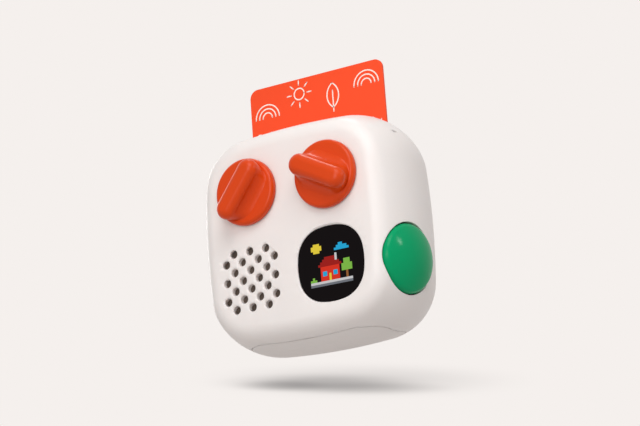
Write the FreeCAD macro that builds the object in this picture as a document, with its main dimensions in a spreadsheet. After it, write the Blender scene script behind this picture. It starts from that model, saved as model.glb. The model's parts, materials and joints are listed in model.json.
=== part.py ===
"""Card-fed audio story player: a pebble-shaped case with two turn knobs, a play button and a screen.

The frame is +Z up. The case looks along -Y, and its origin is the middle of the flat under its foot.
"""
import FreeCAD, Part
import math
import os
import re
import Sketcher
from FreeCAD import Placement, Rotation, Vector

# Every driving dimension: alias, then millimetres (or degrees) and what it is.
SIZES = {
    "body_width": (78.0, "width of the case, and its height before the foot is cut flat"),
    "body_depth": (42.0, "front face to back face"),
    "base_flat": (0.8, "height cut off the swell under the case to give it a flat foot"),
    "outline_side_radius": (240.0, "swell of each side seen from the front"),
    "outline_corner_radius": (20.5, "corners of the case seen from the front"),
    "front_edge_radius": (6.0, "roll from the front face into the side"),
    "front_edge_turn": (65.0, "degrees that the front roll turns before the side swell takes over"),
    "side_swell_radius": (37.0, "swell of each side from front to back"),
    "rear_edge_radius": (16.0, "roll from the side into the back face"),
    "core_corner_radius": (1.0, "corner left on the straight core inside the swept rim"),
    "wall": (2.0, "wall of the case"),
    "parting_depth": (35.5, "front face to the joint between housing and rear cover"),
    "joint_gap": (0.2, "clearance round pieces that drop into a seat"),
    "tongue_height": (2.6, "reach of the rear cover's tongue into the housing"),
    "tongue_wall": (1.2, "thickness of that tongue"),
    "pad_width": (52.0, "foot pad, side to side"),
    "pad_front": (6.3, "front face to the front edge of the foot pad"),
    "pad_depth": (26.4, "foot pad, front to back"),
    "pad_corner_radius": (9.0, "corners of the foot pad"),
    "pad_height": (3.2, "top of the foot pad above the flat"),
    "pad_seat_wall": (1.5, "floor of the housing above the foot pad, and its rim"),
    "grid_across": (15.7, "knobs from the middle line"),
    "speaker_across": (16.7, "speaker from the middle line"),
    "screen_across": (14.4, "screen from the middle line"),
    "knob_rise": (15.3, "knob centres above the middle of the case"),
    "lower_drop": (14.4, "speaker and screen centres below the middle of the case"),
    "knob_radius": (11.5, "disc of a knob"),
    "knob_disc_height": (2.2, "disc of a knob, back to front"),
    "knob_rim_round": (1.3, "rounded rim of the disc"),
    "knob_gap": (0.6, "running gap between knob and front face"),
    "knob_height": (8.5, "back of the knob to the top of its finger bar"),
    "grip_width": (7.4, "finger bar, side to side"),
    "grip_length": (22.2, "finger bar, end to end"),
    "grip_top_round": (2.8, "rounded top of the finger bar"),
    "skirt_height": (3.2, "flared skirt between disc and finger bar"),
    "skirt_width": (14.0, "skirt where it leaves the disc"),
    "skirt_length": (20.2, "skirt where it leaves the disc, end to end"),
    "skirt_waist": (0.3, "share of the skirt's flare that is left at its waist"),
    "skirt_waist_rise": (1.3, "waist of the skirt above the disc"),
    "left_grip_angle": (232.0, "degrees from +X to the left finger bar"),
    "right_grip_angle": (152.0, "degrees from +X to the right finger bar"),
    "shaft_radius": (3.0, "encoder shaft"),
    "shaft_flat": (0.9, "depth of the flat that keys the shaft to its knob"),
    "shaft_reach": (6.2, "shaft beyond the front face"),
    "shaft_fit": (0.05, "clearance round the shaft"),
    "bushing_radius": (3.9, "encoder bushing"),
    "bushing_gap": (0.25, "clearance between bushing and its hole in the case"),
    "encoder_width": (12.0, "square encoder body"),
    "encoder_height": (5.0, "encoder body off the board"),
    "hole_pitch": (6.4, "speaker holes in one row"),
    "hole_radius": (1.45, "speaker hole"),
    "hole_dish": (0.35, "countersink at the mouth of a speaker hole"),
    "speaker_radius": (13.5, "loudspeaker frame"),
    "speaker_depth": (9.6, "loudspeaker, cloth to magnet"),
    "speaker_ring_wall": (1.2, "ring in the housing that holds the loudspeaker"),
    "speaker_ring_height": (3.0, "that ring, off the front wall"),
    "speaker_rim": (1.8, "flat rim of the loudspeaker frame"),
    "speaker_sheet": (0.8, "sheet of the loudspeaker frame"),
    "coil_radius": (3.2, "voice coil hole in the loudspeaker frame"),
    "cone_sheet": (0.4, "loudspeaker cone"),
    "cloth_radius": (12.8, "dust cloth behind the speaker holes"),
    "cloth_thickness": (0.4, "dust cloth behind the speaker holes"),
    "magnet_radius": (7.0, "loudspeaker magnet"),
    "magnet_height": (4.0, "loudspeaker magnet"),
    "lens_width": (25.1, "screen lens across its sides"),
    "lens_side_radius": (23.0, "swell of the lens sides"),
    "lens_corner_radius": (9.7, "corners of the lens"),
    "lens_sink": (0.5, "lens below the front face"),
    "lens_thickness": (1.1, "screen lens"),
    "lens_bevel": (0.5, "bevel round the screen opening"),
    "well_wall": (1.0, "wall round the screen behind the front face"),
    "well_height": (3.2, "that wall, off the front wall"),
    "gasket_thickness": (0.6, "foam frame between lens and screen"),
    "gasket_band": (3.5, "width of that frame"),
    "screen_width": (18.8, "screen module"),
    "screen_corner_radius": (1.0, "corners of the screen module"),
    "screen_thickness": (2.3, "screen module"),
    "holder_width": (18.8, "holder that props the screen off the board"),
    "holder_wall": (1.2, "wall of that holder"),
    "board_thickness": (1.6, "main board"),
    "board_front": (12.5, "front face to the main board"),
    "board_left": (7.0, "left side of the case to the main board"),
    "board_right": (15.5, "right side of the case to the main board"),
    "board_end": (7.0, "top or bottom of the case, before the foot is cut flat, to the main board"),
    "board_corner_radius": (8.0, "corners of the main board"),
    "post_radius": (2.4, "post that carries the main board"),
    "post_inset": (4.0, "those posts from the edges of the main board"),
    "screw_radius": (1.0, "shank of the small screws"),
    "screw_head_radius": (1.9, "head of the small screws"),
    "screw_head_height": (1.3, "head of the small screws"),
    "screw_bite": (5.0, "small screw beyond the board"),
    "button_depth": (12.6, "front face to the middle of the play button"),
    "button_drop": (15.0, "middle of the play button below the middle of the case"),
    "button_front_angle": (12.0, "degrees that the play button's axis leans to the front"),
    "button_down_angle": (5.0, "degrees that the play button's axis leans down"),
    "button_radius": (11.65, "play button"),
    "button_gap": (0.42, "play button to its hole"),
    "button_sink": (1.95, "rim of the play button below the case's surface"),
    "button_dome": (4.6, "dome of the play button above its rim"),
    "button_edge_round": (2.4, "round edge of the play button's dome"),
    "button_skirt": (5.0, "straight skirt of the play button below its rim"),
    "button_wall": (1.6, "shell of the play button"),
    "button_travel": (1.6, "press of the play button"),
    "button_stem_radius": (2.6, "stem under the play button"),
    "tab_reach": (13.3, "retaining tabs from the button's axis"),
    "tab_width": (6.0, "retaining tab"),
    "tab_turn": (36.0, "degrees from straight up to the first retaining tab, towards the front"),
    "tab_thickness": (1.4, "retaining tab"),
    "collar_radius": (13.9, "collar in the housing round the play button"),
    "side_board_depth": (10.4, "case's surface to the button board"),
    "side_board_thickness": (1.4, "button board"),
    "side_board_front": (5.0, "button board ahead of the button's axis"),
    "side_board_back": (4.2, "button board behind the button's axis"),
    "side_board_half_height": (17.0, "button board above and below the button's axis"),
    "side_post_rise": (14.8, "posts of the button board from the button's axis"),
    "side_post_radius": (2.2, "posts of the button board"),
    "switch_width": (4.2, "tact switch"),
    "switch_height": (1.0, "tact switch body"),
    "plunger_radius": (1.1, "tact switch plunger"),
    "plunger_height": (0.5, "tact switch plunger"),
    "dome_foot_radius": (4.1, "rubber return dome at the board"),
    "dome_top_radius": (2.7, "rubber return dome under the stem"),
    "dome_wall": (0.5, "rubber return dome"),
    "card_width": (54.0, "story card, bank-card width"),
    "card_height": (85.6, "story card, bank-card length"),
    "card_thickness": (0.76, "story card"),
    "card_corner_radius": (3.2, "story card corners"),
    "card_shift": (1.0, "card and its slot off the middle line"),
    "card_depth": (21.8, "front face to the middle of the card"),
    "card_top": (58.5, "middle of the case to the top edge of the seated card"),
    "card_rest_gap": (0.1, "seated card above the floor of its guide"),
    "slot_width": (57.5, "card slot in the top of the case"),
    "slot_opening": (1.6, "card slot, front to back"),
    "guide_opening": (1.5, "pocket of the card guide, front to back"),
    "guide_side_gap": (0.35, "card to each side of its guide"),
    "guide_wall": (1.0, "walls of the card guide"),
    "guide_top": (31.0, "middle of the case to the mouth of the card guide"),
    "guide_window_width": (30.0, "opening in the front wall of the card guide"),
    "guide_window_height": (34.0, "opening in the front wall of the card guide"),
    "foot_radius": (2.2, "feet between card guide and main board"),
    "foot_left": (16.0, "left feet from the middle line"),
    "foot_right": (10.0, "right feet from the middle line"),
    "foot_rise": (26.0, "feet above and below the middle of the case"),
    "reader_width": (44.0, "card reader board"),
    "reader_height": (46.0, "card reader board"),
    "reader_thickness": (0.8, "card reader board"),
    "battery_width": (46.0, "battery pouch"),
    "battery_height": (32.0, "battery pouch"),
    "battery_thickness": (6.2, "battery pouch"),
    "battery_round": (2.4, "rounded edges of the battery pouch"),
    "tape_thickness": (1.0, "foam tape under the battery"),
    "rib_wall": (1.2, "ribs round the battery"),
    "rib_height": (4.6, "ribs round the battery"),
    "boss_spread": (24.0, "cover screws from the middle, both ways"),
    "boss_radius": (3.2, "cover screw bosses"),
    "boss_length": (10.0, "bosses in the housing"),
    "boss_rib": (1.4, "ribs that tie the bosses to the case"),
    "cover_screw_radius": (1.3, "cover screw shank"),
    "cover_screw_length": (9.0, "cover screw below its head"),
    "cover_head_radius": (2.4, "cover screw head"),
    "cover_head_height": (1.6, "cover screw head"),
    "cover_screw_sink": (3.4, "depth of the holes that the cover screws sit in"),
    "screw_clearance": (0.2, "clearance round cover screws"),
    "usb_rise": (-13.2, "charging socket from the middle of the case"),
    "usb_width": (9.0, "charging socket, long side"),
    "usb_height": (3.2, "charging socket, short side"),
    "usb_length": (7.4, "charging socket, mouth to tail"),
    "usb_mouth": (2.2, "left side of the case to the mouth of the charging socket"),
    "usb_floor": (1.2, "closed tail of the charging socket"),
    "usb_shell": (0.3, "sheet of the charging socket"),
    "usb_tongue": (0.7, "contact tongue in the charging socket"),
    "usb_tongue_length": (5.9, "contact tongue in the charging socket"),
    "usb_tongue_gap": (0.6, "contact tongue to the short sides of the socket's shell"),
    "jack_rise": (3.4, "headphone socket from the middle of the case"),
    "jack_radius": (1.8, "bore of the headphone socket"),
    "jack_nose_radius": (2.9, "nose of the headphone socket"),
    "jack_nose_length": (2.8, "nose of the headphone socket"),
    "jack_body_width": (6.0, "headphone socket body"),
    "jack_body_length": (9.4, "headphone socket body"),
    "jack_body_height": (5.0, "headphone socket body off the board"),
    "jack_mouth": (2.0, "left side of the case to the mouth of the headphone socket"),
    "power_rise": (17.6, "power button from the middle of the case"),
    "power_length": (7.0, "power button, long way"),
    "power_width": (3.0, "power button, short way"),
    "power_travel": (0.6, "press of the power button"),
    "power_face": (1.1, "left side of the case to the face of the power button"),
    "power_stem": (4.5, "power button, face to switch"),
    "power_flange": (0.7, "flange that keeps the power button in its hole, thickness and overhang"),
    "power_switch_length": (3.4, "power switch body"),
    "power_stub": (1.2, "stub of the power switch, across"),
    "power_stub_reach": (0.6, "stub of the power switch, off its body"),
    "power_stub_gap": (0.1, "stub of the power switch to the pressed button"),
    "socket_gap": (0.35, "clearance round sockets and power button"),
    "slit_place": (14.8, "front face to the middle of the slit on the right shoulder"),
    "slit_angle": (34.3, "degrees from level to that slit, round the shoulder"),
    "slit_length": (2.6, "small slit on the right shoulder"),
    "slit_width": (0.8, "small slit on the right shoulder"),
    "slit_depth": (1.2, "small slit on the right shoulder"),
    "chip_height": (1.4, "packages on the main board"),
    "chip_width": (12.0, "largest package on the main board"),
    "small_chip_width": (6.0, "small packages on the main board"),
    "chip_gap": (3.0, "space beside the packages"),
    "shield_width": (16.0, "shield can on the main board"),
    "shield_height": (2.2, "shield can on the main board"),
}

FRONT = "(-body_depth / 2)"
BACK = "(body_depth / 2)"
MIDDLE = "(body_width / 2 - base_flat)"
BOARD = f"({FRONT} + board_front)"
CARD_PLANE = f"({FRONT} + card_depth)"
CARD_BOTTOM = f"({MIDDLE} + card_top - card_height)"
LOWER_ROW = f"({MIDDLE} - lower_drop)"
KNOB_ROW = f"({MIDDLE} + knob_rise)"
BOARD_LEFT = "(-body_width / 2 + board_left)"
BOARD_RIGHT = "(body_width / 2 - board_right)"
BOARD_HALF_HEIGHT = "(body_width / 2 - board_end)"
USB_MOUTH = "(-body_width / 2 + usb_mouth)"
JACK_MOUTH = "(-body_width / 2 + jack_mouth)"
POWER_FACE = "(-body_width / 2 + power_face)"
TOOL_REACH = "(6 * wall)"  # long enough to pass a wall and the curve outside it
END_ROUND = 0.49  # of a plate's width: its ends are all but half circles

ALONG_X = Rotation(Vector(0, 1, 0), 90)
ALONG_Y = Rotation(Vector(1, 0, 0), -90)
FACING_FRONT = Rotation(Vector(1, 0, 0), 90)
UPRIGHT = Rotation()
QUARTERS = ((1, 1), (-1, 1), (-1, -1), (1, -1))

doc = FreeCAD.newDocument("StoryPlayer")
sheet = doc.addObject("Spreadsheet::Sheet", "sizes")
WORD = re.compile(r"[a-z]\w*")


def fill_sheet():
    for row, (alias, (number, note)) in enumerate(SIZES.items(), start=1):
        sheet.set(f"A{row}", alias)
        sheet.set(f"B{row}", str(number))
        sheet.setAlias(f"B{row}", alias)
        sheet.set(f"C{row}", note)
    doc.recompute()


def size(alias):
    return float(sheet.get(alias))


def formula(text):
    """Turn a formula over aliases into one that the document reads."""
    return WORD.sub(lambda found: "sizes." * (found.group() in SIZES) + found.group(), str(text))


def bind(thing, prop, text):
    thing.setExpression(prop, formula(text))


def put(thing, x="0", y="0", z="0", turn=UPRIGHT):
    thing.Placement = Placement(Vector(), turn)
    for axis, text in zip("xyz", (x, y, z)):
        bind(thing, "Placement.Base." + axis, text)
    return thing


def block(name, low, span):
    """A box from its low corner, with its three spans."""
    box = doc.addObject("Part::Box", name)
    for prop, text in zip(("Length", "Width", "Height"), span):
        bind(box, prop, text)
    return put(box, *low)


def rod(name, radius, length, x="0", y="0", z="0", turn=UPRIGHT):
    cylinder = doc.addObject("Part::Cylinder", name)
    bind(cylinder, "Radius", radius)
    bind(cylinder, "Height", length)
    return put(cylinder, x, y, z, turn)


def join(name, shapes):
    fused = doc.addObject("Part::MultiFuse", name)
    fused.Shapes = shapes
    fused.Refine = True
    return fused


def group(name, shapes):
    loose = doc.addObject("Part::Compound", name)
    loose.Links = shapes
    return loose


def cut(name, base, tools):
    tool = tools[0] if len(tools) == 1 else group(name + "_tools", tools)
    result = doc.addObject("Part::Cut", name)
    result.Base = base
    result.Tool = tool
    result.Refine = True
    return result


def overlap(name, first, second):
    result = doc.addObject("Part::Common", name)
    result.Base = first
    result.Tool = second
    result.Refine = True
    return result


def new_body(name):
    return doc.addObject("PartDesign::Body", name)


def sketch_on(body, role, name):
    sketch = body.newObject("Sketcher::SketchObject", name)
    plane = [item for item in body.Origin.OriginFeatures if item.Role == role][0]
    sketch.AttachmentSupport = (plane, [""])
    sketch.MapMode = "FlatFace"
    return sketch


def pad(body, sketch, length, name, offset="0"):
    bind(sketch, "AttachmentOffset.Base.z", offset)
    feature = body.newObject("PartDesign::Pad", name)
    feature.Profile = sketch
    bind(feature, "Length", length)
    return feature


def round_end(width):
    """The corner radius that rounds the ends of a plate of that width."""
    return f"({END_ROUND} * ({width}))"


# ---- outlines -------------------------------------------------------------

def swelled_square(half, side_radius, corner_radius, inset=0.0):
    """Arcs (centre, radius, start and end angle) of a square with swelled sides, from +X round."""
    reach = side_radius - half
    spare = side_radius - corner_radius
    corner = (math.sqrt(2 * spare ** 2 - reach ** 2) - reach) / 2
    lean = math.atan2(corner, corner + reach)
    arcs = []
    for quarter in range(4):
        turn = quarter * math.pi / 2
        side_centre = Vector(-reach * math.cos(turn), -reach * math.sin(turn), 0)
        corner_centre = Vector(corner, corner, 0)
        corner_centre = Rotation(Vector(0, 0, 1), math.degrees(turn)).multVec(corner_centre)
        start = turn if quarter == 0 else turn - lean
        arcs.append((side_centre, side_radius - inset, start, turn + lean))
        arcs.append((corner_centre, corner_radius - inset, turn + lean, turn + math.pi / 2 - lean))
    arcs.append((Vector(-reach, 0, 0), side_radius - inset, 2 * math.pi - lean, 2 * math.pi))
    return arcs


def draw_arcs(sketch, arcs, radii):
    """Draw a closed ring of arcs, tangent end to start, with each radius bound to its formula."""
    first = sketch.GeometryCount
    for centre, radius, start, end in arcs:
        circle = Part.Circle(centre, Vector(0, 0, 1), radius)
        sketch.addGeometry(Part.ArcOfCircle(circle, start, end))
    last = sketch.GeometryCount - 1
    for index in range(first, last):
        sketch.addConstraint(Sketcher.Constraint("Coincident", index, 2, index + 1, 1))
    sketch.addConstraint(Sketcher.Constraint("Coincident", last, 2, first, 1))
    for index, text in zip(range(first, last + 1), radii):
        number = sketch.addConstraint(Sketcher.Constraint("Radius", index, sketch.Geometry[index].Radius))
        bind(sketch, f"Constraints[{number}]", text)


def draw_swelled_square(sketch, half, side_radius, corner_radius, inset="0"):
    numbers = [evaluate(text) for text in (half, side_radius, corner_radius, inset)]
    arcs = swelled_square(*numbers)
    side, corner = f"{side_radius} - {inset}", f"{corner_radius} - {inset}"
    draw_arcs(sketch, arcs, [side, corner] * 4 + [side])


def evaluate(text):
    """The number that a formula gives with the sizes in the sheet."""
    return float(sheet.evalExpression(formula(text).replace("sizes.", "")))


def draw_rectangle(sketch, width, height, corner_radius):
    """A centred rectangle with round corners, its sizes bound to their formulas."""
    radius = evaluate(corner_radius)
    across, up = evaluate(width) / 2 - radius, evaluate(height) / 2 - radius
    count = len(QUARTERS)
    for quarter, (right, top) in enumerate(QUARTERS):
        start = quarter * math.pi / 2
        circle = Part.Circle(Vector(right * across, top * up, 0), Vector(0, 0, 1), radius)
        sketch.addGeometry(Part.ArcOfCircle(circle, start, start + math.pi / 2))
    for index in range(count):
        following = (index + 1) % count
        ends = sketch.Geometry[index].EndPoint, sketch.Geometry[following].StartPoint
        sketch.addGeometry(Part.LineSegment(*ends))
    for index in range(count):
        sketch.addConstraint(Sketcher.Constraint("Tangent", index, 2, index + count, 1))
        sketch.addConstraint(Sketcher.Constraint("Tangent", index + count, 2, (index + 1) % count, 1))
        sketch.addConstraint(Sketcher.Constraint("Radius", index, radius))
        bind(sketch, f"Constraints[{sketch.ConstraintCount - 1}]", corner_radius)


# ---- the pebble form ------------------------------------------------------

CAVITY_FACETS = 3  # straight facets for each arc of the inner wall
ROOT_FACETS = 2  # and of the surface inside the wall where ribs and posts are rooted


def side_profile(inset):
    """Points and arcs of the rim's cross-section, x from the widest line and y from the front face."""
    front, swell, rear = size("front_edge_radius"), size("side_swell_radius"), size("rear_edge_radius")
    turn = math.radians(size("front_edge_turn"))
    widest = front + (swell - front) * math.cos(turn)
    tail = math.acos((size("body_depth") - widest - rear) / (swell - rear))
    quarter = math.pi / 2
    front_centre = Vector(-swell + (swell - front) * math.sin(turn), front, 0)
    rear_centre = Vector(-swell + (swell - rear) * math.sin(tail), size("body_depth") - rear, 0)
    return [
        (front_centre, front - inset, -quarter, turn - quarter),
        (Vector(-swell, widest, 0), swell - inset, turn - quarter, quarter - tail),
        (rear_centre, rear - inset, quarter - tail, quarter),
    ]


def rim_outline(inset, facets):
    """Edges of the rim's cross-section: true arcs, or that many straight facets for each arc."""
    half = size("body_width") / 2
    edges = []
    for centre, radius, start, end in side_profile(inset):
        circle = Part.Circle(centre + Vector(half, 0, 0), Vector(0, 0, 1), radius)
        if not facets:
            edges.append(Part.ArcOfCircle(circle, start, end))
            continue
        stops = [circle.value(start + (end - start) * step / facets) for step in range(facets + 1)]
        edges += [Part.LineSegment(before, after) for before, after in zip(stops, stops[1:])]
    return edges


def draw_rim(sketch, inset, core, facets):
    """The rim's cross-section from the core line out to the side swell."""
    number = evaluate(inset)
    edges = rim_outline(number, facets)
    front, back = Vector(core, number, 0), Vector(core, size("body_depth") - number, 0)
    for edge in edges:
        sketch.addGeometry(edge)
    sketch.addGeometry(Part.LineSegment(edges[-1].EndPoint, back))
    sketch.addGeometry(Part.LineSegment(back, front))
    sketch.addGeometry(Part.LineSegment(front, edges[0].StartPoint))
    count = sketch.GeometryCount
    for index in range(count):
        sketch.addConstraint(Sketcher.Constraint("Coincident", index, 2, (index + 1) % count, 1))
    if not facets:
        for index, name in enumerate(("front_edge_radius", "side_swell_radius", "rear_edge_radius")):
            sketch.addConstraint(Sketcher.Constraint("Radius", index, edges[index].Radius))
            bind(sketch, f"Constraints[{sketch.ConstraintCount - 1}]", f"{name} - {inset}")


def pebble(name, inset="0", facets=0):
    """The case's form, or the same form inset on every side: a rim swept round a straight core."""
    reach = "(outline_corner_radius - core_corner_radius)"
    track = doc.addObject("Sketcher::SketchObject", name + "_track")
    draw_swelled_square(track, "body_width / 2", "outline_side_radius", "outline_corner_radius", reach)
    put(track, "0", FRONT, MIDDLE, FACING_FRONT)
    rim = doc.addObject("Sketcher::SketchObject", name + "_rim")
    draw_rim(rim, inset, evaluate(f"body_width / 2 - {reach}"), facets)
    put(rim, "0", FRONT, MIDDLE)
    ring = doc.addObject("Part::Sweep", name + "_ring")
    ring.Sections = [rim]
    ring.Spine = (track, [f"Edge{number + 1}" for number in range(track.GeometryCount)])
    ring.Solid = True
    core = doc.addObject("Part::Extrusion", name + "_core")
    core.Base = track
    core.DirMode = "Custom"
    core.Dir = Vector(0, 1, 0)
    core.Solid = True
    bind(core, "LengthFwd", f"body_depth - 2 * {inset}")
    put(core, "0", inset, "0")
    return join(name, [ring, core])


def side_at(depth):
    """How far the side lies inside the widest line at a depth behind the front face."""
    for centre, radius, start, end in side_profile(0.0):
        low, high = centre.y + radius * math.sin(start), centre.y + radius * math.sin(end)
        if low <= depth <= high:
            return -(centre.x + math.sqrt(radius ** 2 - (depth - centre.y) ** 2))
    raise ValueError("depth lies outside the case")


def cavity_side_at(depth):
    """The same for the inner wall, which is made of straight facets."""
    half = size("body_width") / 2
    for edge in rim_outline(size("wall"), CAVITY_FACETS):
        start, end = edge.StartPoint, edge.EndPoint
        if start.y <= depth <= end.y:
            return half - start.x - (end.x - start.x) * (depth - start.y) / (end.y - start.y)
    raise ValueError("depth lies outside the cavity")


def upright_plate(name, width, height, corner, thickness, x, y, z):
    """A plate with round corners that stands facing the front: y is its back, and it grows towards -Y."""
    body = new_body(name)
    sketch = sketch_on(body, "XY_Plane", name + "_outline")
    draw_rectangle(sketch, width, height, corner)
    pad(body, sketch, thickness, name + "_pad")
    return put(body, x, y, z, FACING_FRONT)


def swelled_plate(name, half, inset, thickness, x, y, z, hollow=None):
    """A plate with the screen's swelled outline; hollow gives the inset of its opening."""
    body = new_body(name)
    sketch = sketch_on(body, "XY_Plane", name + "_outline")
    draw_swelled_square(sketch, half, "lens_side_radius", "lens_corner_radius", inset)
    if hollow:
        draw_swelled_square(sketch, half, "lens_side_radius", "lens_corner_radius", hollow)
    pad(body, sketch, thickness, name + "_pad")
    return put(body, x, y, z, FACING_FRONT)


# ---- the play button's own frame ------------------------------------------

def button_turn():
    """Local z points out of the case along the button's axis, y up and x to the rear."""
    front, down = math.radians(size("button_front_angle")), math.radians(size("button_down_angle"))
    outward = Vector(math.cos(front) * math.cos(down), -math.sin(front) * math.cos(down), -math.sin(down))
    rearward = Vector(math.sin(front), math.cos(front), 0)
    return Rotation(rearward, Vector(0, 0, 1), outward, "ZXY")


def button_place(rise=0.0, up=0.0, back=0.0):
    """Placement on the button's axis, moved outwards, up and back from where it meets the surface."""
    depth, drop, swell = size("button_depth"), size("button_drop"), size("outline_side_radius")
    sag = swell - math.sqrt(swell ** 2 - drop ** 2)
    surface = Vector(size("body_width") / 2 - side_at(depth) - sag, depth - size("body_depth") / 2,
                     evaluate(MIDDLE) - drop)
    turn = button_turn()
    return Placement(surface + turn.multVec(Vector(back, up, rise)), turn)


def on_button_axis(thing, rise=0.0, up=0.0, back=0.0):
    thing.Placement = button_place(rise, up, back)
    return thing


def button_rod(name, radius, length, bottom, up="0", back="0"):
    """A cylinder along the button's axis, from bottom outwards."""
    cylinder = doc.addObject("Part::Cylinder", name)
    bind(cylinder, "Radius", radius)
    bind(cylinder, "Height", length)
    return on_button_axis(cylinder, evaluate(bottom), evaluate(up), evaluate(back))


def button_block(name, low, span):
    """A box in the button's frame: low and span are (rearward, up, outward)."""
    box = doc.addObject("Part::Box", name)
    for prop, text in zip(("Length", "Width", "Height"), span):
        bind(box, prop, text)
    back, up, rise = [evaluate(text) for text in low]
    return on_button_axis(box, rise, up, back)


BUTTON_RIM = "(-button_sink)"
BUTTON_FOOT = f"({BUTTON_RIM} - button_skirt)"
SIDE_BOARD = "(-side_board_depth)"
SIDE_POSTS = ("side_post_rise", "-side_post_rise")


# ---- case -----------------------------------------------------------------

HOLE_ROWS = (3, 4, 3, 4, 3, 4, 3)


def speaker_holes():
    """Rows of holes in a diamond lattice, each with a dished mouth."""
    tools = []
    for row, count in enumerate(HOLE_ROWS):
        for column in range(count):
            x = f"-speaker_across + {column - (count - 1) / 2} * hole_pitch"
            z = f"{LOWER_ROW} + {len(HOLE_ROWS) // 2 - row} * hole_pitch / 2"
            name = f"hole_{row}_{column}"
            tools.append(rod(name, "hole_radius", "wall + 2 * hole_dish",
                             x, f"{FRONT} - hole_dish", z, ALONG_Y))
            dish = doc.addObject("Part::Cone", name + "_dish")
            bind(dish, "Radius1", "hole_radius + hole_dish")
            bind(dish, "Radius2", "hole_radius")
            bind(dish, "Height", "hole_dish")
            tools.append(put(dish, x, FRONT, z, ALONG_Y))
    return tools


def screen_cuts():
    """The screen's window, and the bevel round it on the front face."""
    window = swelled_plate("window", "lens_width / 2", "-joint_gap", "wall + 2 * joint_gap",
                           "screen_across", f"{FRONT} + wall + joint_gap", LOWER_ROW)
    bevel = new_body("window_bevel")
    wide = sketch_on(bevel, "XY_Plane", "bevel_mouth")
    draw_swelled_square(wide, "lens_width / 2", "lens_side_radius", "lens_corner_radius",
                        "-(joint_gap + lens_bevel)")
    narrow = sketch_on(bevel, "XY_Plane", "bevel_foot")
    draw_swelled_square(narrow, "lens_width / 2", "lens_side_radius", "lens_corner_radius", "-joint_gap")
    bind(narrow, "AttachmentOffset.Base.z", "-lens_bevel")
    loft = bevel.newObject("PartDesign::AdditiveLoft", "bevel_loft")
    loft.Profile = wide
    loft.Sections = [narrow]
    loft.Ruled = True
    put(bevel, "screen_across", FRONT, LOWER_ROW, FACING_FRONT)
    return [window, bevel]


def board_post_places():
    """Where the main board is screwed to the housing, (x, z): the button's board takes the fourth corner."""
    left, right = f"({BOARD_LEFT} + post_inset)", f"({BOARD_RIGHT} - post_inset)"
    rise = f"({BOARD_HALF_HEIGHT} - post_inset)"
    top, bottom = f"({MIDDLE} + {rise})", f"({MIDDLE} - {rise})"
    return (left, top), (right, top), (left, bottom), ("0", bottom)


def side_plate(name, along_z, along_y, corner, thickness, x, y, z):
    """A plate with round corners that faces -X: x is its inner face, and it grows outwards."""
    body = new_body(name)
    sketch = sketch_on(body, "XY_Plane", name + "_outline")
    draw_rectangle(sketch, along_z, along_y, corner)
    pad(body, sketch, thickness, name + "_pad")
    facing_left = Rotation(Vector(0, 0, 1), Vector(0, 1, 0), Vector(-1, 0, 0), "ZXY")
    return put(body, x, y, z, facing_left)


def flat_plate(name, width, depth, corner, thickness, x, y, z):
    """A level plate with round corners, from z upwards."""
    body = new_body(name)
    sketch = sketch_on(body, "XY_Plane", name + "_outline")
    draw_rectangle(sketch, width, depth, corner)
    pad(body, sketch, thickness, name + "_pad")
    return put(body, x, y, z)


def turned(name, outline):
    """A body turned about its local Z from a list of edges in its XZ plane."""
    body = new_body(name)
    sketch = sketch_on(body, "XZ_Plane", name + "_outline")
    for edge in outline:
        sketch.addGeometry(edge)
    for index in range(len(outline)):
        sketch.addConstraint(Sketcher.Constraint("Coincident", index, 2, (index + 1) % len(outline), 1))
    spin = body.newObject("PartDesign::Revolution", name + "_turn")
    spin.Profile = sketch
    spin.ReferenceAxis = (sketch, ["V_Axis"])
    return body


def lines(points):
    """Straight edges through (x, y) formulas, back to the first."""
    corners = [Vector(evaluate(x), evaluate(y), 0) for x, y in points]
    return [Part.LineSegment(corner, corners[(index + 1) % len(corners)])
            for index, corner in enumerate(corners)]


def case_shell():
    return cut("case_shell", pebble("case_form"), [pebble("cavity", "wall", CAVITY_FACETS)])


def behind_joint(name):
    return block(name, ("-body_width", f"{FRONT} + parting_depth", "-body_width"),
                 ("2 * body_width", "body_depth", "3 * body_width"))


def under_foot(name):
    return block(name, ("-body_width", "-body_depth", "-body_width"),
                 ("2 * body_width", "2 * body_depth", "body_width"))


PAD_CENTRE = f"({FRONT} + pad_front + pad_depth / 2)"
BOSS_TOP = f"({FRONT} + parting_depth)"


def cover_bosses():
    """Screw bosses near the corners, each tied to the side wall and to the floor or roof by a rib."""
    shapes = []
    start = f"{BOSS_TOP} - boss_length"
    rib_span = "boss_length - tongue_height - joint_gap"
    for number, (right, up) in enumerate(QUARTERS):
        x, z = f"{right} * boss_spread", f"{MIDDLE} + {up} * boss_spread"
        shapes.append(rod(f"boss_{number}", "boss_radius", "boss_length", x, start, z, ALONG_Y))
        reach = "(body_width / 2 - boss_spread)"
        low_x = x if right > 0 else f"{x} - {reach}"
        low_z = z if up > 0 else f"{z} - {reach}"
        shapes.append(block(f"boss_rib_across_{number}", (low_x, start, f"{z} - boss_rib / 2"),
                            (reach, rib_span, "boss_rib")))
        shapes.append(block(f"boss_rib_up_{number}", (f"{x} - boss_rib / 2", start, low_z),
                            ("boss_rib", rib_span, reach)))
    return shapes


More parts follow.
